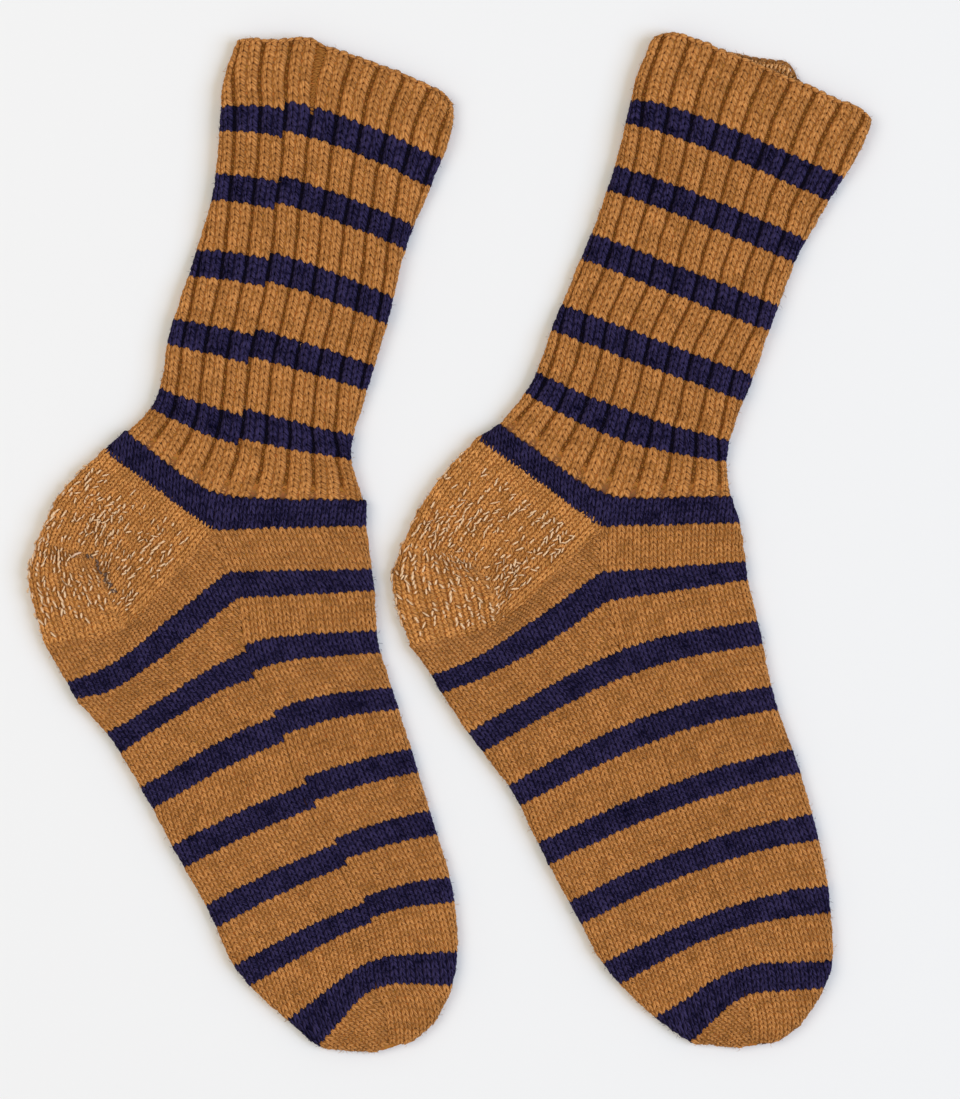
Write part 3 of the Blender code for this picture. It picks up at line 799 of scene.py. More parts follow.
def knitting_tree():
    """The tree that lays a copy of a stitch in every cell of a chart."""
    tree = bpy.data.node_groups.new("knit_a_chart", "GeometryNodeTree")
    for name, kind in (("Chart", "Geometry"), ("Stitch", "Object"), ("Yarn height", "Float"),
                       ("Unevenness", "Float"), ("Seed", "Int"), ("Wool", "Material")):
        tree.interface.new_socket(name, in_out="INPUT", socket_type="NodeSocket" + kind)
    tree.interface.new_socket("Knitting", in_out="OUTPUT", socket_type="NodeSocketGeometry")
    given, result = add(tree, "NodeGroupInput"), add(tree, "NodeGroupOutput")
    chart = given.outputs["Chart"]

    points = add(tree, "GeometryNodeMeshToPoints", mode="FACES")
    tree.links.new(chart, points.inputs["Mesh"])
    index = add(tree, "GeometryNodeInputIndex").outputs["Index"]
    dots = store(tree, points.outputs["Points"], "cell", "INT", "POINT", index)
    chance = add(tree, "FunctionNodeRandomValue", data_type="FLOAT")
    tree.links.new(given.outputs["Seed"], chance.inputs["Seed"])
    dots = store(tree, dots, "tint", "FLOAT", "POINT", live(chance.outputs, "Value"))

    stitch = add(tree, "GeometryNodeObjectInfo")
    tree.links.new(given.outputs["Stitch"], stitch.inputs["Object"])
    copies = add(tree, "GeometryNodeInstanceOnPoints")
    tree.links.new(dots, copies.inputs["Points"])
    tree.links.new(stitch.outputs["Geometry"], copies.inputs["Instance"])
    real = add(tree, "GeometryNodeRealizeInstances")
    tree.links.new(copies.outputs["Instances"], real.inputs["Geometry"])

    apart = add(tree, "ShaderNodeSeparateXYZ")
    tree.links.new(named(tree, "shape", "FLOAT_VECTOR"), apart.inputs[0])
    a, b, h = apart.outputs
    cell = named(tree, "cell", "INT")
    bulge = sample(tree, chart, named(tree, "bulge", "FLOAT"), "FLOAT", "FACE", cell)
    arch = number(tree, "MULTIPLY", number(tree, "MULTIPLY", a, number(tree, "SUBTRACT", 1.0, a)), 4.0)
    arch = number(tree, "MAXIMUM", arch, 0.0)  # 0 at the cell's sides, 1 in its middle
    height = number(tree, "MULTIPLY", h, given.outputs["Yarn height"])
    lift = number(tree, "MULTIPLY_ADD", arch, bulge, height)
    luck = number(tree, "SUBTRACT", named(tree, "tint", "FLOAT"), 0.5)
    lift = number(tree, "MULTIPLY_ADD", luck, given.outputs["Unevenness"], lift)
    rest_a, rest_b = (number(tree, "SUBTRACT", 1.0, x) for x in (a, b))
    where = None
    for corner, (x, y) in enumerate(((rest_a, rest_b), (a, rest_b), (a, b), (rest_a, b))):
        at = number(tree, "MULTIPLY_ADD", cell, 4.0, float(corner))
        place = sample(tree, chart, add(tree, "GeometryNodeInputPosition").outputs[0],
                       "FLOAT_VECTOR", "CORNER", at)
        out = sample(tree, chart, named(tree, "out", "FLOAT_VECTOR"), "FLOAT_VECTOR", "CORNER", at)
        raised = vector(tree, "MULTIPLY_ADD", out, combine(tree, lift), place)
        part = vector(tree, "MULTIPLY", raised, combine(tree, number(tree, "MULTIPLY", x, y)))
        where = part if where is None else vector(tree, "ADD", where, part)
    where = vector(tree, "MAXIMUM", where, ON_THE_GROUND)

    moved = add(tree, "GeometryNodeSetPosition")
    tree.links.new(real.outputs["Geometry"], moved.inputs["Geometry"])
    tree.links.new(where, moved.inputs["Position"])
    turned = add(tree, "GeometryNodeFlipFaces")
    tree.links.new(moved.outputs["Geometry"], turned.inputs["Mesh"])
    wool = add(tree, "GeometryNodeSetMaterial")
    tree.links.new(turned.outputs["Mesh"], wool.inputs["Geometry"])
    tree.links.new(given.outputs["Wool"], wool.inputs["Material"])
    tree.links.new(wool.outputs["Geometry"], result.inputs["Knitting"])
    return tree


knit_tree = knitting_tree()
print("the tree has", len(knit_tree.nodes), "nodes")

# %% [markdown]
# ## Wool
# Both yarns are soft wool: a matt thread with a faint bloom of loose fibres, a little lighter and darker
# from stitch to stitch, with the twist of its plies just visible. The pattern of the plies and fibres is
# one shader group, used by both colours; the shader itself and its plain values stay in each material.
# The group also paints light and shade into the colour: a painted highlight on top of each loop, and
# painted shade in the ply grooves and where the yarn dives under. Darker copies of the yarns paint the
# shade deep in the valleys, and a lighter copy paints light on the shaded inside of the cuff.

# %% Wool materials
TINT_TURN, TINT_STREAK = 7.0, 90.0  # how far a stitch's shade turns its plies, and moves its streaks
STREAKS_ACROSS, STREAKS_ALONG, STREAK_DETAIL = 2.0, 4.0, 2
PATCH_SCALE, PATCH_DETAIL, PATCH_ROUGHNESS = 130, 5, 0.8  # the uneven dye, in the object's own places
# Painted light and shade in the yarn's colour: lighter on the ply ridges and on top of each loop, darker in
# the ply grooves and where the loop dives under.
DARKEST, PLY_GROOVE_PAINTED_SHADE, TINT_LIGHT, LOOP_PAINTED_LIGHT = -0.20, 0.26, 0.24, 0.58  # what makes the yarn light or dark
FIBRE_HEIGHT = 0.5                  # how high the streaks stand, against the plies


def fill(node, values):
    """Set a node's plain inputs by their names."""
    for name, value in values.items():
        node.inputs[name].default_value = value
    return node


def shader_group():
    """Colour and height of a plied yarn, from the yarn's own coordinates and the object's."""
    tree = bpy.data.node_groups.new("plied_wool", "ShaderNodeTree")
    for name, kind in (("Light", "Color"), ("Dark", "Color"), ("Heather", "Float"), ("Plies", "Float"),
                       ("Turns", "Float")):
        tree.interface.new_socket(name, in_out="INPUT", socket_type="NodeSocket" + kind)
    for name, kind in (("Color", "Color"), ("Height", "Float")):
        tree.interface.new_socket(name, in_out="OUTPUT", socket_type="NodeSocket" + kind)
    given, result = add(tree, "NodeGroupInput"), add(tree, "NodeGroupOutput")
    yarn_place = add(tree, "ShaderNodeAttribute", attribute_name="yarn")
    tint = add(tree, "ShaderNodeAttribute", attribute_name="tint").outputs["Fac"]
    where = add(tree, "ShaderNodeTexCoord").outputs["Object"]
    apart = add(tree, "ShaderNodeSeparateXYZ")
    tree.links.new(yarn_place.outputs["Vector"], apart.inputs[0])
    around, along = apart.outputs[0], apart.outputs[1]

    turns = number(tree, "MULTIPLY", along, given.outputs["Turns"])
    turns = number(tree, "MULTIPLY_ADD", around, given.outputs["Plies"], turns)
    turns = number(tree, "ADD", turns, number(tree, "MULTIPLY", tint, TINT_TURN))
    # The ply pattern drives the bump, and it also darkens the colour in the grooves between plies: painted
    # shade.
    ply = number(tree, "ABSOLUTE", number(tree, "SINE", number(tree, "MULTIPLY", turns, pi)))
    # Painted highlight and painted shade: each loop is coloured lighter along its top and middle, and darker
    # at its sides and ends.
    crown, middle = (number(tree, "SINE", number(tree, "MULTIPLY", x, pi)) for x in (around, along))
    painted_light_on_loop = number(tree, "MULTIPLY", crown, middle)  # 1 on top of the loop, 0 where the yarn dives under
    streak = add(tree, "ShaderNodeCombineXYZ")  # stretched along the plies, other for each stitch
    for source, scale, socket in zip((turns, along, tint), (STREAKS_ACROSS, STREAKS_ALONG, TINT_STREAK),
                                     streak.inputs):
        tree.links.new(number(tree, "MULTIPLY", source, scale), socket)
    fibres = fill(add(tree, "ShaderNodeTexNoise"), {"Scale": 1.0, "Detail": STREAK_DETAIL})
    tree.links.new(streak.outputs[0], fibres.inputs["Vector"])
    patches = fill(add(tree, "ShaderNodeTexNoise"), {
        "Scale": PATCH_SCALE, "Detail": PATCH_DETAIL, "Roughness": PATCH_ROUGHNESS})
    tree.links.new(where, patches.inputs["Vector"])

    share = number(tree, "MULTIPLY_ADD", tint, TINT_LIGHT, DARKEST)
    share = number(tree, "MULTIPLY_ADD", ply, PLY_GROOVE_PAINTED_SHADE, share)
    share = number(tree, "MULTIPLY_ADD", painted_light_on_loop, LOOP_PAINTED_LIGHT, share)
    for noise in (fibres, patches):
        spread = number(tree, "SUBTRACT", noise.outputs["Fac"], 0.5)
        share = number(tree, "MULTIPLY_ADD", spread, given.outputs["Heather"], share)
    mix = add(tree, "ShaderNodeMix", data_type="RGBA")
    tree.links.new(share, mix.inputs["Factor"])
    tree.links.new(given.outputs["Dark"], mix.inputs[6])
    tree.links.new(given.outputs["Light"], mix.inputs[7])
    tree.links.new(mix.outputs[2], result.inputs["Color"])
    height = number(tree, "MULTIPLY_ADD", fibres.outputs["Fac"], FIBRE_HEIGHT, ply)
    tree.links.new(height, result.inputs["Height"])
    return tree


plied_wool = shader_group()
PLIES, PLY_TURNS = 3.0, 3.0  # threads in the yarn, and their turns along a stitch
WOOL_ROUGHNESS, BLOOM_ROUGHNESS, RELIEF = 0.92, 0.5, 0.3 * MM
WARM, COLD = (1.0, 0.72, 0.42, 1), (0.45, 0.42, 0.95, 1)  # the tints of the bloom


def plain_material(name):
    """A new material, its node tree and its shader."""
    material = bpy.data.materials.new(name)
    material.use_nodes = True
    return material, material.node_tree, material.node_tree.nodes["Principled BSDF"]


def relief(tree, height, shader):
    """Let a height over the surface raise it for the light."""
    bump = fill(add(tree, "ShaderNodeBump"), {"Strength": 1.0, "Distance": RELIEF})
    tree.links.new(height, bump.inputs["Height"])
    tree.links.new(bump.outputs["Normal"], shader.inputs["Normal"])


def wool(name, light, dark, heather, sheen=0.15, tint=(1, 1, 1, 1), gloss=0.25):
    """Yarn between a light and a dark colour; heather is how much its fibres differ."""
    material, tree, shader = plain_material(name)
    group = fill(add(tree, "ShaderNodeGroup", node_tree=plied_wool), {
        "Light": light, "Dark": dark, "Heather": heather, "Plies": PLIES, "Turns": PLY_TURNS})
    tree.links.new(group.outputs["Color"], shader.inputs["Base Color"])
    relief(tree, group.outputs["Height"], shader)
    fill(shader, {"Roughness": WOOL_ROUGHNESS, "Specular IOR Level": gloss, "Sheen Weight": sheen,
                  "Sheen Roughness": BLOOM_ROUGHNESS, "Sheen Tint": tint})
    return material


caramel = wool("caramel_wool", (0.735, 0.320, 0.088, 1), (0.202, 0.061, 0.001, 1), 1.2, tint=WARM)
navy = wool("navy_wool", (0.044, 0.034, 0.102, 1), (0.0008, 0.0004, 0.010, 1), 2.2, sheen=0.03, tint=COLD,
            gloss=0.05)
# Darker copies of the two yarns for the purls deep in the valleys and in the pulled valley at the cuff:
# painted shade.
deep_caramel = wool("caramel_with_painted_valley_shade", (0.46, 0.186, 0.040, 1), (0.15, 0.048, 0.005, 1), 0.9,
                    sheen=0.0, gloss=0.1)
deep_navy = wool("navy_with_painted_valley_shade", (0.010, 0.008, 0.028, 1), (0.0005, 0.0004, 0.002, 1), 1.2,
                 sheen=0.0, gloss=0.05)
heel_wool = wool("heel_wool", (0.90, 0.405, 0.113, 1), (0.26, 0.086, 0.006, 1), 1.3, tint=WARM)
# A lighter copy of the caramel yarn for the inner face of the cuff, which lies in the shade of the upper
# panel: painted light.
inside_wool_painted_light = wool("wool_inside_the_cuff_painted_light", (0.93, 0.50, 0.20, 1), (0.62, 0.29, 0.09, 1), 0.8,
                   sheen=0.3, tint=WARM)
cream = wool("heel_thread", (1.0, 0.71, 0.44, 1), (1.0, 0.59, 0.30, 1), 0.4, sheen=0.0)
grey = wool("mending_yarn", (0.28, 0.165, 0.115, 1), (0.07, 0.042, 0.030, 1), 1.2, sheen=0.0)
pale = wool("mending_yarn_end", (1.0, 0.72, 0.51, 1), (0.85, 0.57, 0.39, 1), 0.6, sheen=0.0)
caramel_bloom = wool("caramel_fibres", (0.98, 0.54, 0.22, 1), (0.90, 0.45, 0.16, 1), 0.5,
                     sheen=0.3, tint=WARM)
navy_bloom = wool("navy_fibres", (0.10, 0.09, 0.23, 1), (0.06, 0.05, 0.15, 1), 0.5, sheen=0.1, tint=COLD)
print("materials:", [m.name for m in bpy.data.materials])

# %% [markdown]
# ## Knit the charts
# Each colour of each part is one chart mesh of loose cells. The modifier's inputs are set before the
# object is first evaluated, the result is turned into a plain mesh, and the modifier and the chart are
# thrown away. The left sock's stripes meet with a step where one round ends and the next begins; on
# that sock the stripes right of a line start one row earlier.

# %% Turn cells into knitted pieces
def chart_object(name, parts):
    """One mesh of loose quads from the cells of several charts."""
    points = np.concatenate([p["points"] for p in parts]) * MM
    out = np.concatenate([p["out"] for p in parts])
    bulge = np.concatenate([p["bulge"] for p in parts]) * MM
    count = len(points)
    mesh = bpy.data.meshes.new(name + "_chart")
    mesh.from_pydata(points.reshape(-1, 3).tolist(), [], np.arange(count * 4).reshape(-1, 4).tolist())
    mesh.attributes.new("out", "FLOAT_VECTOR", "CORNER").data.foreach_set("vector", out.ravel())
    mesh.attributes.new("bulge", "FLOAT", "FACE").data.foreach_set("value", bulge)
    return put(name + "_chart", mesh)


pieces = {side: [] for side in SOCKS}
YARNS = {  # each yarn's material, the record's slot, and the seed of its shades
    "caramel": (caramel, "wool_caramel", 3), "navy": (navy, "wool_navy", 5),
    "deep_caramel": (deep_caramel, "wool_caramel", 3), "deep_navy": (deep_navy, "wool_navy", 5),
    "heel": (heel_wool, "wool_caramel", 4), "cream": (cream, "heel_thread", 8),
    "inside": (inside_wool_painted_light, "wool_caramel", 6),
}
UNEVENNESS = 0.32 * MM  # how far one stitch stands higher than the next


def grown(base, tree, values):
    """The mesh that a node tree makes of an object, whose inputs are set by their identifiers."""
    modifier = base.modifiers.new("grow", "NODES")
    modifier.node_group = tree
    for item in tree.interface.items_tree:
        if item.in_out == "INPUT" and item.name in values:
            modifier[item.identifier] = values[item.name]
    shown = base.evaluated_get(bpy.context.evaluated_depsgraph_get())
    mesh = bpy.data.meshes.new_from_object(shown)
    base.modifiers.remove(modifier)
    return mesh


def finished(side, name, mesh):
    """A piece of one sock, which rides with it."""
    mesh.name = name
    mesh.shade_smooth()
    piece = put(name, mesh)
    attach(piece, "root")
    pieces[side].append(piece)
    return piece


def knit(side, name, parts, stitch, yarn_name):
    """Knit the cells with one stitch shape into a piece, a plain mesh object."""
    if not any(len(part["bulge"]) for part in parts):
        return  # no cell of this colour here
    base = chart_object(name, parts)
    material, slot, seed = YARNS[yarn_name]
    mesh = grown(base, knit_tree, {"Stitch": stitches[stitch], "Yarn height": MM, "Unevenness": UNEVENNESS,
                                   "Seed": seed, "Wool": material})
    for extra in ("cell", "shape"):
        mesh.attributes.remove(mesh.attributes[extra])
    chart_mesh = base.data
    bpy.data.objects.remove(base)
    bpy.data.meshes.remove(chart_mesh)
    finished(side, name, mesh)


JOG_ROWS, JOG_PLACE = (98, 113), (0.0, 5.0)  # where the foot's jog leaves the knee line, and how far
LEG_JOG_END, FOOT_JOG = 58, (80, 140)        # it shows above this row of the leg, and between these rows


def jogged(row, right_of_line):
    """Navy cells of the left sock: right of the jog the stripes come one row earlier."""
    return np.where(right_of_line, is_navy(row + 1), is_navy(row))


FLECK_SHARE, FLECK_CLUSTER = 0.28, 8.0   # how many of a heel's stitch legs carry thread, and how unevenly
FLECK_RANGE = (0.2, 2.2)                 # the least and most of that share in a thin or thick cluster
FLECK_STRAY = 0.45                       # millimetres that a fleck's ends stray from the stitch
FLECKS_FROM, FLECKS_TO_EDGE = 5, 2       # rows below the stripe, and wales from the flap's inner edge
FLECKS_TO_END = 2                        # the last rows of a patch, which carry none


def flecks(patch, last_column, first_row):
    """The heel's cells whose right or left leg carries a fleck, in loose clusters."""
    chart, keep = patch
    rows, columns = np.indices(keep.shape)
    there = keep & (rows >= first_row) & (rows < len(keep) - FLECKS_TO_END) & (columns < last_column)
    crowd = rng.random(keep.shape)
    for axis in (0, 1):
        crowd = (np.roll(crowd, 1, axis) + crowd + np.roll(crowd, -1, axis)) / 3
    share = FLECK_SHARE * np.clip(1 + (crowd - 0.5) * FLECK_CLUSTER, *FLECK_RANGE)
    draw = rng.random(keep.shape)
    made = []
    for chosen in (draw < share, draw > 1 - share):
        part = cells(chart, there & chosen)
        part["points"][..., :2] += rng.normal(0, FLECK_STRAY, part["points"][..., :2].shape)
        made.append(part)
    return made


backing = {side: [] for side in SOCKS}  # charts with the cells shown, those that are navy, and the shade
for side in SOCKS:
    jog = side == "left"
    chart, knitted, deep, opened, row, right = leg_charts[side]
    after_jog = right & jog & (row < LEG_JOG_END)
    blue = jogged(row, after_jog)
    shown = (knitted | deep | opened) & (row < LEG_ROWS)
    backing[side].append((chart, shown, blue, deep.astype(float)))
    leg = {"caramel": [cells(chart, knitted & ~blue)], "navy": [cells(chart, knitted & blue)]}
    valley = {"caramel": [cells(chart, deep & ~blue)], "navy": [cells(chart, deep & blue)]}
    blue = jogged(row - 1, after_jog)  # an open purl shows the row before it
    last = opened & (row >= LAST_PURLS)
    purls = {"caramel": [cells(chart, last & ~blue)], "navy": [cells(chart, last & blue)]}
    # The purls of the pulled valley take the darker valley yarn: painted shade.
    knit(side, f"{side}_cuff_purls", [cells(chart, opened & (row < OPEN_ROWS))], "purl", "deep_caramel")
    foot = {"caramel": [], "navy": []}
    for plain, keep, row, back in foot_charts[side]:
        place = np.interp(row, JOG_ROWS, JOG_PLACE)
        in_jog_rows = (row > FOOT_JOG[0]) & (row < FOOT_JOG[1])
        blue = jogged(row, (not back) & jog & (plain["from_knee"] > place) & in_jog_rows)
        keep = keep & (row < TOE_END - 1)
        backing[side].append((plain, keep, blue, 0.0))
        foot["caramel"].append(cells(plain, keep & ~blue))
        foot["navy"].append(cells(plain, keep & blue))
    below = {"caramel": [], "navy": []}
    for plain, keep, station in under_rows[side]:
        blue = np.broadcast_to(is_navy(knitted_row(station)), keep.shape)
        below["caramel"].append(cells(plain, keep & ~blue))
        below["navy"].append(cells(plain, keep & blue))
    for colour in ("caramel", "navy"):
        knit(side, f"{side}_leg_{colour}", leg[colour], "rib", colour)
        knit(side, f"{side}_valleys_{colour}", valley[colour], "deep", f"deep_{colour}")
        knit(side, f"{side}_open_purls_{colour}", purls[colour], "purl", colour)
        knit(side, f"{side}_foot_{colour}", foot[colour], "plain", colour)
        knit(side, f"{side}_under_{colour}", below[colour], "under", colour)
    knit(side, f"{side}_heel", [cells(*patch) for patch in heel_patches[side]], "plain", "heel")
    edge, inner = cuff_charts[side]
    knit(side, f"{side}_cast_on_edge", [cells(*edge)], "link", "caramel")
    # The inside of the cuff takes the lighter yarn: painted light against the shade that falls there.
    knit(side, f"{side}_cuff_inside", [cells(*inner)], "under", "inside")
    backing[side] += [(*patch, False, 0.0) for patch in heel_patches[side]]
    flap, cap = heel_patches[side]
    over_flap = flecks(flap, flap[1].shape[1] - FLECKS_TO_EDGE, FLECKS_FROM)
    over_cap = flecks(cap, cap[1].shape[1], 0)
    for leg_side, *parts in zip(("right", "left"), over_flap, over_cap):
        knit(side, f"{side}_heel_flecks_{leg_side}", parts, f"fleck_{leg_side}", "cream")
print("triangles:", {p.name: sum(len(f.vertices) - 2 for f in p.data.polygons)
                     for side in pieces for p in pieces[side]})

# %% [markdown]
# ## A mended place
# The left heel has an end of grey yarn darned in where the flap turns into the cap. It dips in and out of
# the cloth, so only short lengths of it show, this way and that; its pale end lies on top.

# %% Darn in the yarn end
MEND_LINE = ((-150.6, -4.9), (-146.0, -11.7), (-139.2, -21.2))
MEND_LENGTHS, MEND_REACH, MEND_STRAY = 12, 1.2, 0.7  # how many show, half their length, how far they stray
MEND_RISE, MEND_RADIUS, MEND_SIDES = (-0.5, 0.36, 0.54, 0.36, -0.5), 0.46, 5
PALE_LINE = ((-158.2, -7.0), (-155.8, -5.0), (-153.0, -4.3))


def laid_yarn(name, routes, material):
    """Lengths of yarn on top of the left sock, along plan routes, whose ends dip into the cloth."""
    parts = []
    for route in routes:
        plan = even(through(np.array(route) - PAIR_CENTRE), len(MEND_RISE))
        parts.append(yarn(np.c_[plan, thickness(plan) + MEND_RISE], MEND_RADIUS, MEND_SIDES, (1, 1, 1)))
    laid = stitch_object(name, parts, 1, 1)
    mesh = laid.data
    bpy.data.objects.remove(laid)
    mesh.materials.append(material)
    finished("left", name, mesh)


dips = []
for spot in even(through(MEND_LINE), MEND_LENGTHS) + rng.normal(0, MEND_STRAY, (MEND_LENGTHS, 2)):
    way = rng.uniform(0, tau)
    reach = MEND_REACH * np.array((cos(way), sin(way)))
    dips.append((spot - reach, spot, spot + reach))
laid_yarn("left_heel_mend", dips, grey)
laid_yarn("left_heel_mend_end", [PALE_LINE], pale)
print("mended:", [p.name for p in pieces["left"][-2:]])

# %% [markdown]
# ## Loose fibres
# Wool is hairy: single fibres stand off the yarn and soften every edge. Hair curves would be lost in the
# export, so each fibre is a tiny closed spindle of six triangles. A tree scatters them over the finished
# stitches, turned and sized at random, and closer together along the folds, where they show best.

# %% Build and scatter the fibres
FIBRE_PATH = ((0.0, 0.0, -0.15), (0.85, 0.15, 0.62), (1.95, 0.62, 0.30))
FIBRE_RADIUS, FIBRE_SIDES, FIBRE_TILT, FIBRE_SIZES = 0.085, 3, 0.6, (0.5, 1.3)
FIBRES_PER_M2, AT_THE_FOLDS = 16000.0, 280000.0  # everywhere, and how many more below the fold's height
FOLD_HEIGHT = 3.9 * MM
FACING_LEAST = -0.2  # faces that look down further than this carry none


def fibre_tree():
    """The tree that scatters copies of a fibre over finished stitches."""
    tree = bpy.data.node_groups.new("scatter_fibres", "GeometryNodeTree")
    for name, kind in (("Knitting", "Geometry"), ("Fibre", "Object"), ("Density", "Float"),
                       ("More at the folds", "Float"), ("Seed", "Int"), ("Wool", "Material")):
        tree.interface.new_socket(name, in_out="INPUT", socket_type="NodeSocket" + kind)
    tree.interface.new_socket("Fibres", in_out="OUTPUT", socket_type="NodeSocketGeometry")
    given, result = add(tree, "NodeGroupInput"), add(tree, "NodeGroupOutput")
    scatter = add(tree, "GeometryNodeDistributePointsOnFaces", distribute_method="RANDOM")
    tree.links.new(given.outputs["Knitting"], scatter.inputs["Mesh"])
    facing, height = (vector(tree, "DOT_PRODUCT", add(tree, kind).outputs[0], (0.0, 0.0, 1.0))
                      for kind in ("GeometryNodeInputNormal", "GeometryNodeInputPosition"))
    tree.links.new(number(tree, "GREATER_THAN", facing, FACING_LEAST), scatter.inputs["Selection"])
    low = number(tree, "LESS_THAN", height, FOLD_HEIGHT)
    crowd = number(tree, "MULTIPLY_ADD", low, given.outputs["More at the folds"], given.outputs["Density"])
    tree.links.new(crowd, scatter.inputs["Density"])
    tree.links.new(given.outputs["Seed"], scatter.inputs["Seed"])
    turn = add(tree, "FunctionNodeRandomValue", data_type="FLOAT_VECTOR")
    live(turn.inputs, "Min").default_value = (-FIBRE_TILT, -FIBRE_TILT, 0)
    live(turn.inputs, "Max").default_value = (FIBRE_TILT, FIBRE_TILT, tau)
    tree.links.new(given.outputs["Seed"], turn.inputs["Seed"])
    angles = add(tree, "FunctionNodeEulerToRotation")
    tree.links.new(live(turn.outputs, "Value"), angles.inputs[0])
    both = add(tree, "FunctionNodeRotateRotation", rotation_space="LOCAL")
    tree.links.new(scatter.outputs["Rotation"], both.inputs[0])
    tree.links.new(angles.outputs[0], both.inputs[1])
    size = add(tree, "FunctionNodeRandomValue", data_type="FLOAT")
    live(size.inputs, "Min").default_value, live(size.inputs, "Max").default_value = FIBRE_SIZES
    shape = add(tree, "GeometryNodeObjectInfo")
    tree.links.new(given.outputs["Fibre"], shape.inputs["Object"])
    copies = add(tree, "GeometryNodeInstanceOnPoints")
    tree.links.new(scatter.outputs["Points"], copies.inputs["Points"])
    tree.links.new(shape.outputs["Geometry"], copies.inputs["Instance"])
    tree.links.new(both.outputs[0], copies.inputs["Rotation"])
    tree.links.new(live(size.outputs, "Value"), copies.inputs["Scale"])
    real = add(tree, "GeometryNodeRealizeInstances")
    tree.links.new(copies.outputs["Instances"], real.inputs["Geometry"])
    clear = vector(tree, "MAXIMUM", add(tree, "GeometryNodeInputPosition").outputs[0], ON_THE_GROUND)
    moved = add(tree, "GeometryNodeSetPosition")
    tree.links.new(real.outputs["Geometry"], moved.inputs["Geometry"])
    tree.links.new(clear, moved.inputs["Position"])
    dyed = add(tree, "GeometryNodeSetMaterial")
    tree.links.new(moved.outputs["Geometry"], dyed.inputs["Geometry"])
    tree.links.new(given.outputs["Wool"], dyed.inputs["Material"])
    tree.links.new(dyed.outputs["Geometry"], result.inputs["Fibres"])
    return tree


scatter_tree = fibre_tree()
spindle = yarn(FIBRE_PATH, FIBRE_RADIUS, FIBRE_SIDES, (1, 1, 1))
stitches["fibre"] = stitch_object("fibre", [spindle], 1.0, 1.0)
BLOOM = {  # the parts that carry fibres of a colour, their material, and the first part's seed
    "caramel": (("leg_caramel", "foot_caramel", "heel", "cast_on_edge"), caramel_bloom, 11),
    "navy": (("leg_navy", "foot_navy"), navy_bloom, 12),
}
fibre_counts = {}
for side in SOCKS:
    made = {p.name: p for p in pieces[side]}
    for colour, (parts, material, first_seed) in BLOOM.items():
        for seed, part in enumerate(parts, first_seed):
            mesh = grown(made[f"{side}_{part}"], scatter_tree, {
                "Fibre": stitches["fibre"], "Density": FIBRES_PER_M2, "More at the folds": AT_THE_FOLDS,
                "Seed": seed, "Wool": material})
            finished(side, f"{side}_{part}_fibres", mesh)
            fibre_counts[f"{side}_{part}"] = len(mesh.vertices) // len(spindle[0])
print("fibres:", fibre_counts)

# %% [markdown]
# ## The fabric behind the stitches
# Where two legs of yarn part, fluff and the back of the knitting show, not a black hole. A thin layer
# just behind the stitches does this. It is built on the same charts, so it follows every rib, and each
# of its faces has the colour of the stitch in front of it; in the deep valleys that colour is darkened
# further, as painted shade.

# %% Build the backing
BACKING_DEPTH, BACKING_WALL = 0.74, 0.25  # millimetres behind the stitches' chart, and thick


def backing_mesh(name, parts):
    """The charts' shown cells as a joined surface, a little behind the stitches."""
    verts, faces, stripe, valley, start = [], [], [], [], 0
    for chart, keep, navy_cells, shade in parts:
        grid = chart["points"] - chart["out"] * BACKING_DEPTH
        rows, columns = grid.shape[:2]
        verts.append(grid.reshape(-1, 3))
        j, i = np.nonzero(keep)
        corner = start + j * columns + i
        faces.append(np.stack([corner, corner + columns, corner + columns + 1, corner + 1], axis=1))
        stripe.append(np.broadcast_to(navy_cells, keep.shape)[j, i].astype(float))
        valley.append(np.broadcast_to(shade, keep.shape)[j, i])
        start += rows * columns
    mesh = bpy.data.meshes.new(name)
    mesh.from_pydata((np.vstack(verts) * MM).tolist(), [], np.vstack(faces).tolist())
    for attribute, values in (("stripe", stripe), ("valley", valley)):
        mesh.attributes.new(attribute, "FLOAT", "FACE").data.foreach_set("value", np.concatenate(values))
    loose = bmesh.new()
    loose.from_mesh(mesh)
    bmesh.ops.delete(loose, geom=[v for v in loose.verts if not v.link_faces], context="VERTS")
    loose.to_mesh(mesh)
    loose.free()
    return mesh


backing_meshes = {side: backing_mesh(f"{side}_backing", parts) for side, parts in backing.items()}
print("backing faces:", {side: len(mesh.polygons) for side, mesh in backing_meshes.items()})

# %% [markdown]
# ## The cloth under the stitches
# Behind all this lies the cloth's own body, which closes the tube. It shows between the stitches of the
# under side, at the very end of the toe, and inside the cuff as the inner face of the tube. It is a skin
# a little inside the stitches, one ring of points for every third row, given its thickness by Solidify.
# This is the piece that stands for the sock's solid.

# %% Build the cloth shells
# How deep the skin lies under the ribs, the plain knitting and the under side, and how thick it is.
SKIN_RIBS, SKIN_PLAIN, SKIN_UNDER, CLOTH_WALL = 2.6, 1.3, 0.7, 1.0
UPPER_STEPS, LOWER_STEPS, SKIN_ROWS = 40, 24, 3  # points over and under each ring, and rows between rings
RIBS_END = 3  # rows over which the skin rises from the ribs to the plain knitting
SKIN_START = 0.35  # the row at which the shell starts, so that the first stitches cover its edge
# Painted shade: the backing's colour in the cells of the deep valleys is multiplied by this.
VALLEY_SHADE = (0.36, 0.31, 0.24, 1)  # the wool at the bottom of a deep valley, against the rest


